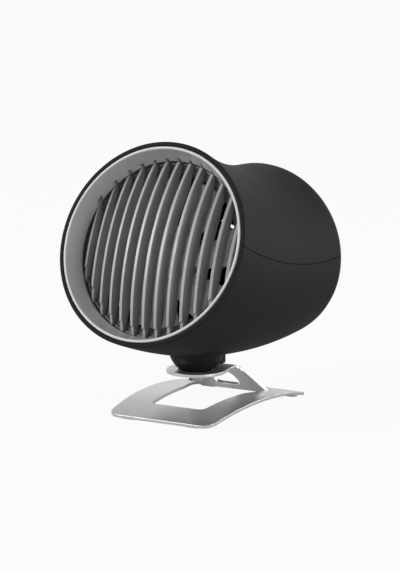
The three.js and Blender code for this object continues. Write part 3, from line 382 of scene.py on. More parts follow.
blackShell = mouldedPlastic("blackShell", (0.011, 0.011, 0.012), (0.014, 0.014, 0.015), 0.6, specular=0.1)
blackNeck = mouldedPlastic("blackNeck", (0.008, 0.008, 0.009), (0.011, 0.011, 0.012), 0.42, specular=0.12)
greyFunnel = mouldedPlastic("greyFunnel", (0.39, 0.39, 0.40), (0.44, 0.44, 0.45), 0.36, depth=0.00001)
greyLouvre = mouldedPlastic("greyLouvre", (0.30, 0.30, 0.31), (0.34, 0.34, 0.35), 0.38, depth=0.00001)
# painted shade: a dark grey for the duct and grille ring where they lie deep behind the louvres
paintedShadeDuct = mouldedPlastic("paintedShadeDuct", (0.07, 0.07, 0.074), (0.09, 0.09, 0.094), 0.5)
# painted highlight: a lighter grey for the louvres' front edges, where the light catches them
paintedHighlightEdge = satinMetal("paintedHighlightEdge", (0.40, 0.40, 0.41), (0.46, 0.46, 0.47), 0.4, 0.1)
# painted highlight: a lighter grey for the funnel's rounded lip, where the light catches it
paintedHighlightLip = satinMetal("paintedHighlightLip", (0.50, 0.50, 0.51), (0.58, 0.58, 0.59), 0.4, 0.1)
paleBlade = mouldedPlastic("paleBlade", (0.60, 0.60, 0.61), (0.66, 0.66, 0.67), 0.5)
satinSteel = satinMetal("satinSteel", (0.66, 0.66, 0.67), (0.74, 0.74, 0.75), 0.32, 0.85, (1, 0.03, 1))
zincSteel = satinMetal("zincSteel", (0.72, 0.72, 0.73), (0.80, 0.80, 0.81), 0.24)
nutSteel = satinMetal("nutSteel", (0.34, 0.34, 0.35), (0.42, 0.42, 0.43), 0.28)
blackSteel = satinMetal("blackSteel", (0.03, 0.03, 0.032), (0.045, 0.045, 0.048), 0.42)
boardGreen = mouldedPlastic("boardGreen", (0.010, 0.10, 0.035), (0.014, 0.13, 0.045), 0.4)
creamPlastic = mouldedPlastic("creamPlastic", (0.72, 0.70, 0.64), (0.78, 0.76, 0.70), 0.5)
redSheath = mouldedPlastic("redSheath", (0.10, 0.006, 0.006), (0.14, 0.008, 0.008), 0.5)
clearRubber = mouldedPlastic("clearRubber", (0.60, 0.60, 0.59), (0.70, 0.70, 0.69), 0.55, grain=900)
print("materials made")


def dress(piece, body, slotName, material, *nodes):
    piece.data.materials.clear()
    piece.data.materials.append(material)
    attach(piece, body)
    if nodes:
        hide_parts(*nodes)


camera = {"azimuth": 30.87, "elevation": 10.19, "distance": 1.4933, "lens": 173.74, "aimRight": 0.00197,
          "aimUp": 0.06934}


def addCamera(settings):
    turn, lift = math.radians(settings["azimuth"]), math.radians(settings["elevation"])
    right = Vector((math.cos(turn), math.sin(turn), 0))
    away = Vector((math.sin(turn) * math.cos(lift), -math.cos(turn) * math.cos(lift), math.sin(lift)))
    aim = Vector((swivelPoint.x, swivelPoint.y, settings["aimUp"])) + right * settings["aimRight"]
    place = aim + away * settings["distance"]
    deselectAll()
    bpy.ops.object.camera_add(location=place, rotation=(-away).to_track_quat("-Z", "Y").to_euler())
    eye = bpy.context.object
    eye.name = "photoCamera"
    eye.data.sensor_width = 36
    eye.data.lens = settings["lens"]
    bpy.context.scene.camera = eye


addCamera(camera)


# the head is a bent tube, split into two shells
tube = {"mouthReach": 47.1, "mouthLift": 63.4, "mouthRadius": 56, "mouthPull": 110, "drumReach": 70.3,
        "drumLift": 42.9, "drumRadius": 50, "drumPull": 126, "rounding": 11.2, "wall": 2.1, "lipRounding": 0.8,
        "seamFront": 3.7, "seamRear": 0.8, "seamGap": 0.4, "lapStart": 0.12, "lapEnd": 0.98, "lapGap": 0.05,
        "lapWall": 0.8, "lapHalf": 1.5, "blockHalf": 80, "blockRise": 120, "vertices": 128, "stations": 28}

mouthPoint = ballCentre + Vector((0, -tube["mouthReach"], tube["mouthLift"])) * mm
drumPoint = ballCentre + Vector((0, tube["drumReach"], tube["drumLift"])) * mm


def tubeMiddle(share):
    # place and direction on the tube's middle line, from mouth to drum
    ends = mouthPoint, drumPoint
    pulls = -mouthAxis * tube["mouthPull"] * mm / 3, -drumAxis * tube["drumPull"] * mm / 3
    points = ends[0], ends[0] + pulls[0], ends[1] + pulls[1], ends[1]
    rest = 1 - share
    place = (points[0] * rest ** 3 + points[1] * 3 * rest ** 2 * share
             + points[2] * 3 * rest * share ** 2 + points[3] * share ** 3)
    along = ((points[1] - points[0]) * rest ** 2 + (points[2] - points[1]) * 2 * rest * share
             + (points[3] - points[2]) * share ** 2).normalized()
    return place, along


def tubeRadius(share):
    return tube["mouthRadius"] + (tube["drumRadius"] - tube["mouthRadius"]) * share


def tubeRing(share, inset):
    place, along = tubeMiddle(share)
    return place, axisTurn(along), (tubeRadius(share) - inset) * mm


def tubeSkin(inset, shares):
    rings = [tubeRing(share, inset) for share in shares]
    opening = tube["drumRadius"] - tube["rounding"]
    radius = tube["rounding"] - inset
    for share in evenShares(8)[1:]:
        angle = math.pi / 2 * share
        place = drumPoint + drumAxis * radius * math.sin(angle) * mm
        rings.append((place, axisTurn(drumAxis), (opening + radius * math.cos(angle)) * mm))
    return rings


def makeSeamLap():
    # a strip inside the shells that keeps light out of the seam
    shares = [tube["lapStart"] + (tube["lapEnd"] - tube["lapStart"]) * share for share in evenShares(20)]
    inset = tube["wall"] + tube["lapGap"]
    outer = [tubeRing(share, inset) for share in shares]
    inner = [tubeRing(share, inset + tube["lapWall"]) for share in shares]
    lap = ringStack("seamLap", outer + inner[::-1], tube["vertices"], closed=True)
    combine(lap, makeSeamBlock(-tube["lapHalf"]), "INTERSECT")
    return cut(lap, makeSeamBlock(tube["lapHalf"]))


def makeTubeWall():
    shares = evenShares(tube["stations"])
    lip = []
    for share in evenShares(3)[::-1]:
        angle, edge = math.pi / 2 * share, tube["lipRounding"]
        lip.append(tubeRing(edge * (1 - math.sin(angle)) / tube["mouthPull"], edge * (1 - math.cos(angle))))
    outer = lip + tubeSkin(0, shares[1:])
    inner = tubeSkin(tube["wall"], shares)
    return ringStack("tubeWall", outer + inner[::-1], tube["vertices"], closed=True)


def seamLine():
    # the parting line's height over the tube's length, from before the lip to past the rear
    points = []
    for share in evenShares(24):
        place, along = tubeMiddle(share)
        angle = math.radians(tube["seamFront"] + (tube["seamRear"] - tube["seamFront"]) * share)
        points.append(place + Vector((0, -along.z, along.y)) * tubeRadius(share) * math.sin(angle) * mm)
    first, last = points[0] - (points[1] - points[0]) * 4, points[-1] + (points[-1] - points[-2]) * 8
    return [first] + points + [last]


def makeSeamBlock(lift):
    # everything above the parting line
    line = seamLine()
    block = gridPiece("seamBlock", 1, len(line) - 1)
    rows = sorted({round(vertex.co.y, 6) for vertex in block.data.vertices})
    for vertex in block.data.vertices:
        point = line[rows.index(round(vertex.co.y, 6))]
        vertex.co = Vector((math.copysign(tube["blockHalf"] * mm, vertex.co.x), point.y, point.z + lift * mm))
    editAll(block)
    bpy.ops.mesh.extrude_region_move(TRANSFORM_OT_translate={"value": (0, 0, tube["blockRise"] * mm)})
    return tidyNormals(block)


housing = {"halfWidth": 7.2, "front": 12, "rear": 19.8, "height": 8.5, "gap": 0.5, "round": 0.8,
           "socketWidth": 9.5, "socketHeight": 3.8, "socketLift": 3.4, "socketDepth": 5.2}
neck = {"radius": 15.4, "wall": 1.9, "space": 0.3, "flangeRadius": 20.6, "flangeLift": 4.4, "flangeThickness": 2.0}
housingBase = swivelPoint.z + housing["gap"] * mm


def socketSlug(name, width, height, front, rear, middle):
    # a stadium-ended slug along Y
    slug = boxPiece(name, (-width / 2 * mm, front, middle - height / 2 * mm),
                    (width / 2 * mm, rear, middle + height / 2 * mm))
    onlySelect(slug)
    setMode("EDIT")
    bpy.ops.mesh.select_mode(type="EDGE")
    bpy.ops.mesh.select_all(action="DESELECT")
    setMode("OBJECT")
    for edge in slug.data.edges:
        a, b = (slug.data.vertices[index].co for index in edge.vertices)
        edge.select = abs(a.x - b.x) < 1e-7 and abs(a.z - b.z) < 1e-7
    setMode("EDIT")
    bpy.ops.mesh.bevel(offset=height * 0.499 * mm, segments=6)
    bpy.ops.mesh.select_mode(type="VERT")
    setMode("OBJECT")
    return slug


def makeShells():
    wall = makeTubeWall()
    lowerWall = duplicate(wall, "lowerShell")
    combine(wall, makeSeamBlock(tube["seamGap"] / 2), "INTERSECT")
    wall.name = "upperShell"
    cut(lowerWall, makeSeamBlock(-tube["seamGap"] / 2))
    front, rear = ballCentre.y + housing["front"] * mm, ballCentre.y + housing["rear"] * mm
    half = housing["halfWidth"] * mm
    block = boxPiece("socketBlock", (-half, front, housingBase), (half, rear, housingBase + housing["height"] * mm))
    roundEdges(block, housing["round"] * mm, 4)
    combine(lowerWall, settle(block), "UNION")
    deselectAll()
    bpy.ops.mesh.primitive_uv_sphere_add(segments=96, ring_count=48, location=ballCentre,
                                         radius=(neck["radius"] + neck["space"]) * mm)
    cut(lowerWall, settle(namedPiece("ballSpace")))
    slug = socketSlug("socketSpace", housing["socketWidth"], housing["socketHeight"],
                      rear - housing["socketDepth"] * mm, rear + mm, housingBase + housing["socketLift"] * mm)
    cut(lowerWall, slug)
    dress(settle(wall), "head", "black_plastic", blackShell, "upper_shell")
    lowerWall = joinPieces("lowerShell", [lowerWall, makeSeamLap()])
    dress(settle(lowerWall), "head", "black_plastic", blackShell, "lower_shell")


makeShells()
print("shells made")


# the stand is cut flat from one sheet, its edges eased, and then bent
stand = {"sheet": 1.8, "footLift": 0.3, "front": 40.4, "rear": 61.4, "archRise": 5.9, "frontHalf": 32.8,
         "middleHalf": 35.2, "rearHalf": 33.9, "frontCorner": 8.5, "rearCorner": 1, "windowFront": 20.6,
         "windowFrontHalf": 16.5, "windowWaist": 18, "windowWaistHalf": 18.8, "windowCorner": 4, "kerf": 0.8,
         "edgeRound": 0.28, "archSteps": 44}
tongue = {"top": 23, "ringRadius": 16.4, "seatRadius": 9.75, "bend": 20.4, "root": 39.9, "rootLap": 4,
          "bendRadius": 3, "neckHalf": 12.6, "waist": 0.35, "flare": 11, "flareHalf": 18.7, "flareOut": 0.91,
          "flareDown": 0.27, "rootHalf": 22.4, "thinner": 0.03, "bendSteps": 8}
slopeHole = [(3, 2.4, 3), (7.4, 9.6, 6), (8.7, 20.6, 4.4)]  # half width, distance down the slope, corner

halfSheet = stand["sheet"] / 2
through = -5, 5  # low and high ends of what cuts the flat sheet
standMiddle = (stand["rear"] - stand["front"]) / 2
archRadius = (((stand["front"] + stand["rear"]) / 2) ** 2 + stand["archRise"] ** 2) / (2 * stand["archRise"])
archCentre = stand["footLift"] + stand["archRise"] - archRadius
plateRadius = archRadius + halfSheet


def plateMiddle(along):
    # the middle of the arched sheet over a place along Y
    return Vector((along, archCentre + math.sqrt(plateRadius ** 2 - (along - standMiddle) ** 2)))


def tongueStretches():
    # the strip's middle line as (length, turn) stretches from the swivel axis to inside the plate
    bend = Vector((tongue["bend"], tongue["top"] - halfSheet))
    root, end = plateMiddle(tongue["root"]), plateMiddle(tongue["root"] + tongue["rootLap"])
    slope = math.atan2(bend.y - root.y, root.x - bend.x)
    plateFall = math.atan2(root.y - end.y, end.x - root.x)
    turns = slope, plateFall - slope
    trims = [tongue["bendRadius"] * math.tan(abs(turn) / 2) for turn in turns]
    stretches = [(tongue["bend"] - trims[0], 0), (tongue["bendRadius"] * slope, turns[0]),
                 ((bend - root).length - sum(trims), 0), (tongue["bendRadius"] * abs(turns[1]), turns[1]),
                 ((root - end).length - trims[1], 0)]
    return stretches, slope


def outward(heading):
    # away from the upper side of a strip that runs down by this angle
    return Vector((math.sin(heading), math.cos(heading)))


def tonguePlace(distance, lift):
    # where a point of the flat strip lands, as (y, z), once the strip is bent
    place, heading = Vector((0, tongue["top"] - halfSheet)), 0
    stretches = tongueStretches()[0]
    for index, (length, turn) in enumerate(stretches):
        last = index == len(stretches) - 1
        part = distance if last else min(distance, length)
        if turn:
            side = math.copysign(tongue["bendRadius"], turn)
            centre = place - outward(heading) * side
            heading += turn * part / length
            place = centre + outward(heading) * side
        else:
            place = place + Vector((math.cos(heading), -math.sin(heading))) * part
        distance -= part
        if distance <= 0:
            break
    return place + outward(heading) * lift


def archPlace(along, lift):
    turn = math.asin((along - standMiddle) / (plateRadius + halfSheet))
    reach = plateRadius + lift
    return Vector((standMiddle, archCentre)) + outward(turn) * reach


def bent(piece, place):
    for vertex in piece.data.vertices:
        spot = place(vertex.co.y / mm, vertex.co.z / mm)
        vertex.co = Vector((vertex.co.x, swivelPoint.y + spot.x * mm, spot.y * mm))
    return piece


def makePlate():
    front, rear, corner = -stand["front"], stand["rear"], stand["frontCorner"]
    half, rearHalf = stand["frontHalf"], stand["rearHalf"]
    bulge = (2 * stand["middleHalf"] - (half + rearHalf) / 2, standMiddle)
    sideStart, sideEnd = (half, front + corner), (rearHalf, rear - stand["rearCorner"])
    right = eased((half - corner, front), (half, front), sideStart, 12)
    right += eased(sideStart, bulge, sideEnd, 20)[1:]
    right += eased(sideEnd, (rearHalf, rear), (rearHalf - stand["rearCorner"], rear), 4)[1:]
    plate = flatPiece("standPlate", mirroredCorners(right), -halfSheet, halfSheet)
    window = roundedOutline(mirroredCorners([
        (stand["windowFrontHalf"], -stand["windowFront"], stand["windowCorner"]),
        (stand["windowWaistHalf"], stand["windowWaist"], stand["windowCorner"] * 3),
        (tongue["rootHalf"] + stand["kerf"], tongue["root"] - stand["windowCorner"], stand["windowCorner"]),
        (tongue["rootHalf"] + stand["kerf"], tongue["root"] + tongue["bendRadius"] / 2, stand["kerf"] / 2)]))
    cut(plate, flatPiece("standWindow", window, *through))
    roundEdges(plate, stand["edgeRound"] * mm, 3, 60, clamp=False)
    cutAcross(plate, [front + (rear - front) * share for share in evenShares(stand["archSteps"])[1:-1]])
    return bent(plate, archPlace)


def makeTongue():
    stretches, slope = tongueStretches()
    half = halfSheet - tongue["thinner"]
    ends = [sum(length for length, turn in stretches[:count]) for count in range(1, len(stretches) + 1)]
    slack = 2 * tongue["bendRadius"] * math.tan(slope / 2) - tongue["bendRadius"] * slope
    down = tongue["bend"] - slack
    rootAt = down + (tongue["root"] - tongue["bend"]) / math.cos(slope)
    neck = Vector((tongue["neckHalf"], tongue["bend"] - half))
    leave = math.atan2(neck.y, neck.x) - math.acos(tongue["ringRadius"] / neck.length)
    turns = [-math.pi / 2 + (math.pi / 2 + leave) * share for share in evenShares(60)]
    outline = [(math.cos(turn) * tongue["ringRadius"], math.sin(turn) * tongue["ringRadius"]) for turn in turns]
    flareCorner = Vector((tongue["flareHalf"] * tongue["flareOut"], down + tongue["flare"] * tongue["flareDown"]))
    waist, flareStart = neck.lerp(Vector(outline[-1]), tongue["waist"]), neck.lerp(flareCorner, 0.5)
    outline += eased(waist, neck, flareStart, 12)
    outline += eased(flareStart, flareCorner, (tongue["flareHalf"], down + tongue["flare"]), 12)[1:]
    outline += [(tongue["rootHalf"], rootAt), (tongue["rootHalf"], ends[-1])]
    strip = flatPiece("standTongue", outline + [(-x, y) for x, y in reversed(outline[1:])], -half, half)
    hole = roundedOutline(mirroredCorners([(x, down + along, corner) for x, along, corner in slopeHole]), 10)
    seat = circleOutline(tongue["seatRadius"])
    cut(strip, flatPiece("slopeHole", hole, *through), flatPiece("ballSeat", seat, *through))
    roundEdges(strip, stand["edgeRound"] * mm, 3, 60, clamp=False)
    cutAcross(strip, [ends[bend] + (ends[bend + 1] - ends[bend]) * share
                      for bend in (0, 2) for share in evenShares(tongue["bendSteps"])])
    return bent(strip, tonguePlace)


def makeStand():
    bracket = settleFlat(combine(makePlate(), makeTongue(), "UNION"))
    bracket.name = "standBracket"
    dress(bracket, "stand", "satin_steel", satinSteel, "stand_bracket")


makeStand()
print("stand made")


# the ball under the head, slotted for the clamp's bolt, and the clamp's washer and nut
clamp = {"boltRadius": 2, "gap": 0.3, "nod": 25, "slotStart": 5, "slotEnd": 20, "cupRadius": 11.6,
         "cupThickness": 0.6, "cupDish": 5, "cupFlat": 8, "cupBend": 0.24, "cupSoft": 0.15, "nutFlats": 7,
         "nutHeight": 2.1, "nutRound": 0.1}
boltBore = clamp["boltRadius"] + clamp["gap"]


def makeNeckBowl():
    outer, inner = neck["radius"], neck["radius"] - neck["wall"]
    top = neck["flangeLift"] + neck["flangeThickness"]
    arcs = [[(radius * math.sin(math.pi / 2 * share), -radius * math.cos(math.pi / 2 * share))
             for share in evenShares(20)] for radius in (outer, inner)]
    profile = arcs[0] + [(outer, neck["flangeLift"]), (neck["flangeRadius"], neck["flangeLift"]),
                         (neck["flangeRadius"], top), (inner, top)] + arcs[1][::-1]
    bowl = ringStack("neckBowl", turnedAbout(ballCentre, upward, profile))
    cut(bowl, boltSlot())
    dress(settle(bowl), "head", "black_plastic", blackNeck, "neck_bowl")


def boltSlot():
    # a flat bar stood in the bolt's line and spun through the nod
    play = math.asin(boltBore / (neck["radius"] - neck["wall"]))
    near, far = clamp["slotStart"] * mm, clamp["slotEnd"] * mm
    down = Vector((0, math.sin(play), -math.cos(play)))
    deselectAll()
    bpy.ops.mesh.primitive_plane_add(size=1, location=ballCentre + down * (near + far) / 2,
                                     rotation=(math.pi / 2 + play, 0, 0))
    slot = namedPiece("boltSlot")
    slot.scale = (2 * boltBore * mm, far - near, 1)
    editAll(settle(slot))
    bpy.ops.mesh.spin(steps=16, angle=math.radians(clamp["nod"]) + 2 * play, center=ballCentre, axis=(1, 0, 0))
    return tidyNormals(slot)


def makeCupWasher():
    thick, bend, soft, wide = clamp["cupThickness"], clamp["cupBend"], clamp["cupSoft"], clamp["cupRadius"]
    dishTop = ballCentre.z / mm - neck["radius"] - clamp["gap"]
    rim = tongue["top"] - stand["sheet"] - clamp["gap"]
    profile = [(boltBore, dishTop - thick), (clamp["cupDish"], dishTop - thick),
               (clamp["cupFlat"] + bend, rim - thick), (wide - soft, rim - thick), (wide, rim - thick + soft),
               (wide, rim - soft), (wide - soft, rim), (clamp["cupFlat"], rim),
               (clamp["cupDish"] - bend, dishTop), (boltBore, dishTop)]
    ground = Vector((swivelPoint.x, swivelPoint.y, 0))
    washer = ringStack("cupWasher", turnedAbout(ground, upward, profile), closed=True)
    dress(washer, "clamp", "zinc_steel", zincSteel, "cup_washer")


def makeLockNut():
    top = ballCentre.z / mm - neck["radius"] - clamp["gap"] * 2 - clamp["cupThickness"]
    bottom = top - clamp["nutHeight"]
    corner, flat = clamp["nutFlats"] / math.sqrt(3), clamp["nutFlats"] / 2
    turns = [math.tau * (step + 0.5) / 6 for step in range(6)]
    nut = flatPiece("lockNut", [(corner * math.cos(turn), corner * math.sin(turn)) for turn in turns], bottom, top)
    chamfer = corner - flat
    profile = [(flat, bottom), (corner, bottom + chamfer), (corner, top - chamfer), (flat, top)]
    combine(nut, uprightRing("nutChamfer", profile), "INTERSECT")
    cut(nut, flatPiece("nutBore", circleOutline(boltBore, 48), bottom - 1, top + 1))
    roundEdges(nut, clamp["nutRound"] * mm, 2, 20, clamp=False)
    nut.location = (swivelPoint.x, swivelPoint.y, 0)
    dress(settleFlat(nut, 25), "clamp", "zinc_steel", nutSteel, "lock_nut")


makeNeckBowl()
makeCupWasher()
makeLockNut()
print("neck made")


# the mouth: funnel, lip, louvres and impeller
# some keys below place the painted highlight on the lip and louvre edges and the painted shade on the duct and
# grille ring
mouth = {"lipGap": 0.5, "lipWidth": 1.7, "lipRise": 0.3, "lipHighlightShare": 0.8, "lipHighlightDepth": 0.75,
         "skirtDepth": 7, "skirtTaper": 1.2, "coneSpread": 0.72, "coneDrop": 0.62, "grilleRadius": 48.4,
         "grilleDepth": 11.5, "domeRise": 11.1, "domeInset": 0.2, "louvreBack": 15, "louvres": 13, "pitch": 7.3,
         "thickness": 1.5, "slabLow": (-120, -20), "slabHigh": (50, 200), "ringWall": 1.6, "ringSink": 2.4,
         "ringSoft": 0.35, "ringLift": 0.05, "louvreDepth": 8.7, "hollowRadius": 35.5, "hollowFoot": 2,
         "stepLength": 4.5, "stepDrop": 1.2, "stepBelow": 14, "stepClear": 3, "stepTop": 6, "notchLength": 2,
         "notchWidth": 1.7, "notchReach": 4.4, "notchInside": 2, "notchFoot": 1.5, "funnelWall": 1.9,
         "ductRadius": 42.6, "ductEnd": 34, "ductShadeDepth": 0.6, "flangeRadius": 47.6, "flangeThickness": 2.6,
         "gap": 0.1, "edgeRound": 0.42, "shadeSlack": 0.05, "highlightLift": 0.3, "highlightFacing": 0.5,
         "vertices": 144}
funnelOuter = tube["mouthRadius"] - tube["wall"] - mouth["lipGap"]
grilleEdge = mouth["grilleRadius"] - mouth["gap"]


def mouthRing(name, profile, closed=False):
    return ringStack(name, turnedAbout(mouthPoint, mouthAxis, profile), mouth["vertices"], closed)


def halfMouthRing(name, profile, lift, side):
    # the part of a ring that lies on one side of a line across the mouth
    ring = mouthRing(name, profile, closed=True)
    across = Vector((0, -mouthAxis.z, mouthAxis.y))
    editAll(ring)
    bpy.ops.mesh.bisect(plane_co=mouthPoint + across * lift * mm, plane_no=across, use_fill=True, **{side: True})
    return tidyNormals(ring)


def mouthSpot(point):
    # a point's height along the mouth's axis and its distance from it, in millimetres
    offset = (point - mouthPoint) / mm
    height = offset.dot(mouthAxis)
    return height, (offset - mouthAxis * height).length


def funnelCone(count):
    # the cone's inner side from the lip down to the grille
    start = Vector((funnelOuter - mouth["lipWidth"], -mouth["lipRise"]))
    end = Vector((mouth["grilleRadius"], -mouth["grilleDepth"]))
    bend = end.x + (start.x - end.x) * mouth["coneSpread"], end.y * mouth["coneDrop"]
    return eased(start, bend, end, count)


def makeNotches():
    # short slots through the cone that the louvres' upper ends run into
    radius = mouth["grilleRadius"]
    profile = squareProfile(radius - mouth["notchInside"], radius + mouth["notchReach"],
                            mouth["notchFoot"] - mouth["louvreBack"], mouth["notchLength"] - mouth["grilleDepth"])
    ring = halfMouthRing("notches", profile, 0, "clear_outer")
    return combine(ring, louvreSlabs("notchSlabs", mouth["notchWidth"], mouth["thickness"] / 2), "INTERSECT")


def makeFunnel():
    duct, wall = mouth["ductRadius"], mouth["funnelWall"]
    back = -mouth["louvreBack"] - mouth["gap"]
    foot, flange = -mouth["ductEnd"], mouth["flangeThickness"] - mouth["ductEnd"]
    rise, width = mouth["lipRise"], mouth["lipWidth"]
    lip = [(funnelOuter, -rise * 2)]
    for share in evenShares(8):
        angle = math.pi * share
        lip.append((funnelOuter - width / 2 + math.cos(angle) * width / 2, -rise + math.sin(angle) * rise * 2))
    profile = [(duct, foot), (mouth["flangeRadius"], foot), (mouth["flangeRadius"], flange), (duct + wall, flange),
               (duct + wall, back - wall), (mouth["grilleRadius"] + wall, -mouth["louvreBack"] - wall),
               (funnelOuter - mouth["skirtTaper"], -mouth["skirtDepth"])]
    profile += lip + funnelCone(14) + [(mouth["grilleRadius"], back), (duct, back)]
    funnel = mouthRing("mouthFunnel", profile, closed=True)
    cut(funnel, makeNotches())
    dress(funnel, "head", "silver_plastic", greyFunnel, "mouth_funnel")
    # painted highlight: the lip takes a lighter copy of the grey where its rounded edge catches the light; painted
    # shade: the duct deep behind the louvres takes a dark material
    funnel.data.materials.append(paintedHighlightLip)
    funnel.data.materials.append(paintedShadeDuct)
    for face in funnel.data.polygons:
        height, radius = mouthSpot(face.center)
        if radius > funnelOuter - width * mouth["lipHighlightShare"] and height > -mouth["lipHighlightDepth"]:
            face.material_index = 1
        elif height < -mouth["grilleDepth"] - mouth["ductShadeDepth"]:
            face.material_index = 2


def domeHeight(radius):
    # height of the louvres' domed front over a distance from the mouth's axis
    ball = (grilleEdge ** 2 + mouth["domeRise"] ** 2) / (2 * mouth["domeRise"])
    return -mouth["grilleDepth"] + mouth["domeRise"] - ball + math.sqrt(ball ** 2 - radius ** 2)


def domedPiece(name, edge, inset, drop, foot):
    # a plug with the dome's curve on its front
    spans = [edge * math.cos(math.pi / 2 * share) for share in evenShares(24)]
    profile = [(edge - inset, foot)]
    profile += [(max(span - inset, 0.02), domeHeight(span) - drop) for span in spans]
    return mouthRing(name, profile)


def makeLowStep():
    # what is taken off the front of the louvres' lower ends
    inner, outer = mouth["grilleRadius"] - mouth["stepLength"], grilleEdge + mouth["stepClear"]
    spans = [inner + (grilleEdge - inner) * share for share in evenShares(8)]
    profile = [(span, domeHeight(span) - mouth["stepDrop"]) for span in spans]
    profile += [(outer, profile[-1][1]), (outer, mouth["stepTop"]), (inner, mouth["stepTop"])]
    return halfMouthRing("lowStep", profile, mouth["stepBelow"], "clear_inner")


def louvreSlabs(name, thickness, shift=0):
    slabs = []
    for index in range(mouth["louvres"]):
        offset = (index - (mouth["louvres"] - 1) / 2) * mouth["pitch"] + shift
        slabs.append(boxPiece(name, Vector((offset - thickness / 2, *mouth["slabLow"])) * mm,
                              Vector((offset + thickness / 2, *mouth["slabHigh"])) * mm))
    return joinPieces(name, slabs)


def makeLouvres():
    louvres = louvreSlabs("frontGrille", mouth["thickness"])
    back = -mouth["louvreBack"]
    combine(louvres, domedPiece("dome", grilleEdge, mouth["domeInset"], 0, back), "INTERSECT")
    # the louvres' rear edges run parallel to the dome in the middle
    hollow = domedPiece("backHollow", mouth["hollowRadius"], 0, mouth["louvreDepth"], back - mouth["hollowFoot"])
    cut(louvres, hollow, makeLowStep())
    roundEdges(louvres, mouth["edgeRound"] * mm, 4, 50)
    outer, inner, soft = grilleEdge, grilleEdge - mouth["ringWall"], mouth["ringSoft"]
    low, high = back + mouth["ringLift"], -mouth["grilleDepth"] - mouth["ringSink"]
    profile = [(inner, low), (outer, low), (outer, high - soft), (outer - soft, high), (inner + soft, high),
               (inner, high - soft)]
    combine(louvres, mouthRing("grilleRing", profile, closed=True), "UNION")
    dress(settle(louvres), "head", "silver_plastic", greyLouvre, "front_grille")
    # painted highlight: the louvres' front-facing rounded edges take a lighter copy of their grey; painted shade:
    # their ring, deep behind the cone, takes the dark duct material
    louvres.data.materials.append(paintedHighlightEdge)
    louvres.data.materials.append(paintedShadeDuct)
    for face in louvres.data.polygons:
        height, radius = mouthSpot(face.center)
        if radius > inner - mouth["shadeSlack"] and height < high + mouth["shadeSlack"]:
            face.material_index = 2
        elif face.normal.dot(mouthAxis) > mouth["highlightFacing"] and height > high + mouth["highlightLift"]:
            face.material_index = 1


impeller = {"blades": 7, "thickness": 1.3, "front": 18.4, "back": 29.4, "sweep": 14, "rootSpan": 44, "tipSpan": 34,
            "tipRadius": 41.4, "hubRadius": 15, "hubWall": 1.6, "nose": 17.4, "noseSlope": 4.5, "noseDrop": 2.4,
            "noseWall": 1.6, "bossRadius": 3.4, "bore": 1.3, "boreEnd": 19.4, "tipDrop": 0.72, "camber": 0.6,
            "edgeRound": 0.45, "rows": 12, "chordSteps": 14}


def makeBlade(turn):
    # a grid laid out along the blade's span and chord, then given its thickness
    blade = gridPiece("blade", impeller["rows"], impeller["chordSteps"])
    root = impeller["hubRadius"] - impeller["hubWall"] / 2
    front, back, thickness = impeller["front"], impeller["back"], impeller["thickness"]
    for vertex in blade.data.vertices:
        share, along = vertex.co.x + 0.5, vertex.co.y + 0.5
        radius = root + (impeller["tipRadius"] - root) * share
        span = math.radians(impeller["rootSpan"] + (impeller["tipSpan"] - impeller["rootSpan"]) * share)
        angle = turn + math.radians(impeller["sweep"]) * share + (along - 0.5) * span
        drop = (back - front - thickness) * (1 - (1 - impeller["tipDrop"]) * share)
        height = -(front + back) / 2 + (0.5 - along) * drop + impeller["camber"] * math.sin(math.pi * along)
        vertex.co = Vector((radius * math.cos(angle), radius * math.sin(angle), height)) * mm
    wall = blade.modifiers.new("wall", "SOLIDIFY")
    wall.thickness = thickness * mm
    wall.offset = 0
    applyModifiers(blade)
    tidyNormals(blade)
    roundEdges(blade, impeller["edgeRound"] * mm, 3, 60)
    return blade


def makeImpeller():
    radius, back, nose = impeller["hubRadius"], -impeller["back"], -impeller["nose"]
    inner, crown, start = radius - impeller["hubWall"], radius - impeller["noseSlope"], nose - impeller["noseDrop"]
    under, bore, boss = nose - impeller["noseWall"], impeller["bore"], impeller["bossRadius"]
    profile = [(inner, back), (radius, back)]
    profile += eased((radius, start), (radius, nose), (crown, nose))
    profile += [(0, nose), (0, -impeller["boreEnd"]), (bore, -impeller["boreEnd"]), (bore, back), (boss, back),
                (boss, under), (crown, under), (inner, under - impeller["noseWall"])]
    hub = uprightRing("impellerHub", profile, closed=True)
    blades = [makeBlade(math.tau * index / impeller["blades"]) for index in range(impeller["blades"])]
    combine(hub, joinPieces("blades", blades), "UNION")
    hub.name = "impellerWheel"
    setOnAxis(hub, mouthPoint, mouthAxis)
    dress(settle(hub, 35), "impeller", "blade_plastic", paleBlade, "impeller")


makeFunnel()
makeLouvres()
makeImpeller()
print("mouth made")


# the rear: slotted panel, screws and button, with heights out from the start of the rear rounding
rear = {"panelInner": 9.2, "face": 11.2, "panelRadius": 38.5, "slots": 16, "slotWidth": 2.5, "slotInner": 15,
        "slotMiddle": 23.5, "slotOuter": 32.5, "edgeRound": 0.3, "buttonBore": 6.9, "flangeTop": 8.8,
        "flangeThickness": 1.5, "flangeRadius": 41.8, "flangeInner": 34.5, "screwCircle": 35.4, "screwHole": 1.4,
        "rimLow": 7.9, "rimFace": 10.7, "lap": 0.02, "screwHead": 1.9, "headHeight": 1.1, "recess": 2.2,
        "recessFloor": 9.8, "postRadius": 2.5, "postCircle": 10.9, "postLow": 3.1, "postHigh": 9.7}
screwTurns = [math.radians(degrees) for degrees in (45, 135, 225, 315)]


def tubeDisc(name, inner, outer, low, high, vertices=32):
    # an upright ring, or a disc where the inner radius is 0
    if inner:
        return uprightRing(name, squareProfile(inner, outer, low, high), vertices, closed=True)
    return uprightRing(name, [(outer, low), (outer, high)], vertices)


def atTurn(piece, circle, turn):
    piece.location = Vector((math.cos(turn), math.sin(turn), 0)) * circle * mm
    return settle(piece)


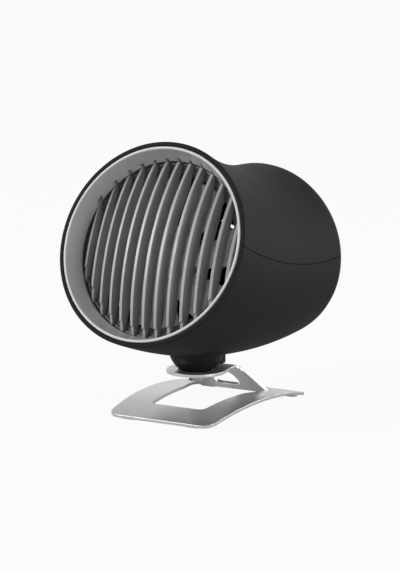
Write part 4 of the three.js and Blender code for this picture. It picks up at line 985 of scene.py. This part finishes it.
def makeSlots():
    slots = []
    for index in range(rear["slots"] * 2):
        start = rear["slotMiddle"] if index % 2 else rear["slotInner"]
        outline = slotOutline(start, rear["slotOuter"], rear["slotWidth"])
        slot = flatPiece("slot", outline, rear["panelInner"] - 1, rear["face"] + 1)
        slot.rotation_euler.z = math.pi * index / rear["slots"]
        slots.append(settle(slot))
    return joinPieces("slots", slots)


def makeRearGrille():
    face = flatPiece("rearGrille", circleOutline(rear["panelRadius"], 144), rear["panelInner"], rear["face"])
    bore = flatPiece("buttonBore", circleOutline(rear["buttonBore"]), rear["panelInner"] - 1, rear["face"] + 1)
    cut(face, makeSlots(), bore)
    roundEdges(face, rear["edgeRound"] * mm, 3, 60, clamp=False)
    low, inner, wide = rear["flangeTop"] - rear["flangeThickness"], rear["flangeInner"], rear["flangeRadius"]
    edge = rear["panelRadius"] - rear["lap"]
    profile = [(inner, low), (wide, low), (wide, rear["rimLow"]), (edge, rear["flangeTop"]),
               (edge, rear["rimFace"]), (inner, rear["rimFace"])]
    combine(face, uprightRing("rearRim", profile, 144, closed=True), "UNION")
    posts = [atTurn(tubeDisc("post", rear["screwHole"], rear["postRadius"], rear["postLow"], rear["postHigh"]),
                    rear["postCircle"], math.radians(degrees)) for degrees in (90, 210, 330)]
    combine(face, joinPieces("posts", posts), "UNION")
    for turn in screwTurns:
        hole = tubeDisc("screwHole", 0, rear["screwHole"], low - 1, rear["face"] + 1)
        recess = tubeDisc("recess", 0, rear["recess"], rear["recessFloor"], rear["face"] + 2, 48)
        cut(face, *(atTurn(tool, rear["screwCircle"], turn) for tool in (hole, recess)))
    setOnAxis(face, drumPoint, drumAxis)
    dress(settleFlat(face), "head", "black_plastic", blackShell, "rear_grille")


screw = {"length": 5, "tip": 0.6, "tipLength": 0.8, "shank": 1, "headSoft": 0.1, "seatSoft": 0.15, "rim": 0.4,
         "crossHalf": 1.1, "crossWidth": 0.4, "crossDepth": 0.7}


def makeRearScrew(name, node, turn):
    # a domed head with a cross recess, its shank down the boss
    head, top, seat = rear["screwHead"], rear["face"], rear["face"] - rear["headHeight"]
    foot, dome = seat - screw["length"], seat + screw["rim"]
    profile = [(screw["tip"], foot), (screw["shank"], foot + screw["tipLength"]), (screw["shank"], seat),
               (head - screw["headSoft"], seat), (head, seat + screw["seatSoft"])]
    for angle in map(math.radians, (10, 30, 50, 70, 88)):
        profile.append((head * math.cos(angle), dome + (top - dome) * math.sin(angle)))
    piece = uprightRing(name, profile, 48)
    corner = Vector((screw["crossHalf"], screw["crossWidth"] / 2, 0))
    for spin in (0, 90):
        low, high = upward * (top - screw["crossDepth"]) - corner, upward * (top + 1) + corner
        bar = boxPiece("bar", low * mm, high * mm)
        bar.rotation_euler.z = math.radians(spin)
        cut(piece, settle(bar))
    setOnAxis(atTurn(piece, rear["screwCircle"], turn), drumPoint, drumAxis)
    dress(settle(piece), "head", "black_steel", blackSteel, node)


button = {"radius": 6.6, "top": 12.1, "flange": 8, "flangeTop": 8.9, "flangeLow": 7.9, "stem": 1.5, "stemEnd": 6,
          "dish": 0.45, "round": 0.6}


def makeButton():
    # a dished press button on its flange and stem
    radius, top, soft = button["radius"], button["top"], button["round"]
    profile = [(button["stem"], button["stemEnd"]), (button["stem"], button["flangeLow"]),
               (button["flange"], button["flangeLow"]), (button["flange"], button["flangeTop"]),
               (radius, button["flangeTop"])]
    profile += eased((radius, top - soft), (radius, top), (radius - soft, top), 6)
    profile += [((radius - soft) * (1 - share), top - button["dish"] * math.sin(math.pi / 2 * share))
                for share in evenShares(8)[1:]]
    piece = ringStack("powerButton", turnedAbout(drumPoint, drumAxis, profile))
    dress(piece, "button", "silver_plastic", greyLouvre, "power_button")


makeRearGrille()
for screwIndex, screwTurn in enumerate(screwTurns):
    makeRearScrew(f"rearScrew{screwIndex + 1}", f"rear_screw_{screwIndex + 1}", screwTurn)
makeButton()
print("rear made")


# what is not remodelled keeps its solid and gets its finish
nodeFinishes = [
    (clearRubber, "foot_pad"), (nutSteel, "clamp_bolt"), (blackNeck, "motor_mount"), (boardGreen, "control_board"),
    (creamPlastic, "lead_connector"), (redSheath, ("motor_leads", "power_leads")),
    (zincSteel, ("ball_slider", "usb_socket", "motor_shaft", "motor_can")),
    (blackSteel, ("spring_washer", "button_switch", "bowl_screw", "motor_screw", "mount_screw", "board_screw"))]
for nodeName, node in frame["nodes"].items():
    for material, prefixes in nodeFinishes:
        if nodeName.startswith(prefixes):
            node.data.materials.clear()
            node.data.materials.append(material)
print("solids finished")


# floor, backdrop and light
stageSettings = {"floorSize": 6, "floorColour": (0.8, 0.8, 0.8, 1), "whiteShare": 0.93, "worldLevel": 0.55,
                 "floorGloss": 0.1, "floorRoughness": 0.9, "worldGloss": 1, "horizonTop": 0.25, "zenith": 0.75,
                 "zenithLevel": 0.35}


def backgroundRays(tree, glossShare):
    # 1 for rays that should meet plain white, seen directly or through glass, and a share for gloss
    path = tree.nodes.new("ShaderNodeLightPath")
    result = mathNode(tree, "MULTIPLY", path.outputs["Is Glossy Ray"], glossShare)
    for ray in ("Is Camera Ray", "Is Transmission Ray"):
        result = mathNode(tree, "MAXIMUM", result, path.outputs[ray])
    return result


def addFloor(settings):
    deselectAll()
    bpy.ops.mesh.primitive_plane_add(size=settings["floorSize"])
    floor = namedPiece("floor")
    material, shader = newMaterial("paleFloor")
    tree = material.node_tree
    shader.inputs["Base Color"].default_value = settings["floorColour"]
    shader.inputs["Roughness"].default_value = settings["floorRoughness"]
    glow = tree.nodes.new("ShaderNodeEmission")
    mix = tree.nodes.new("ShaderNodeMixShader")
    share = mathNode(tree, "MULTIPLY", backgroundRays(tree, settings["floorGloss"]), settings["whiteShare"])
    tree.links.new(share, mix.inputs["Fac"])
    tree.links.new(shader.outputs["BSDF"], mix.inputs[1])
    tree.links.new(glow.outputs["Emission"], mix.inputs[2])
    tree.links.new(mix.outputs["Shader"], tree.nodes["Material Output"].inputs["Surface"])
    floor.data.materials.append(material)


def addWorld(settings):
    # white where it is seen, and darker overhead than at the horizon for light and gloss
    world = bpy.data.worlds.new("studio")
    bpy.context.scene.world = world
    world.use_nodes = True
    tree = world.node_tree
    background = tree.nodes["Background"]
    background.inputs["Color"].default_value = (1, 1, 1, 1)
    coordinates = tree.nodes.new("ShaderNodeTexCoord")
    split = tree.nodes.new("ShaderNodeSeparateXYZ")
    tree.links.new(coordinates.outputs["Generated"], split.inputs["Vector"])
    overhead = rangeNode(tree, split.outputs["Z"], 1, settings["zenithLevel"], settings["horizonTop"],
                         settings["zenith"])
    level = rangeNode(tree, backgroundRays(tree, settings["worldGloss"]), settings["worldLevel"], 1)
    tree.links.new(mathNode(tree, "MULTIPLY", level, overhead), background.inputs["Strength"])


lamps = {
    "keyLamp": {"place": (-0.9, -1.1, 0.9), "size": 0.9, "energy": 15, "aimUp": 0.07},
    "sideLamp": {"place": (1.3, -0.1, 0.3), "size": 0.7, "energy": 7, "aimUp": 0.07},
    "rearLamp": {"place": (1.1, 1.3, 0.15), "size": 0.7, "energy": 6, "aimUp": 0.07},
}


def addLamp(name, settings):
    place = Vector(settings["place"])
    aim = upward * settings["aimUp"] - place
    deselectAll()
    bpy.ops.object.light_add(type="AREA", location=place, rotation=aim.to_track_quat("-Z", "Y").to_euler())
    lamp = bpy.context.object
    lamp.name = name
    lamp.data.shape = "DISK"
    lamp.data.size = settings["size"]
    lamp.data.energy = settings["energy"]


addFloor(stageSettings)
addWorld(stageSettings)
for lampName, lampSettings in lamps.items():
    addLamp(lampName, lampSettings)
bpy.context.scene.view_settings.view_transform = "Standard"
print("stage made")
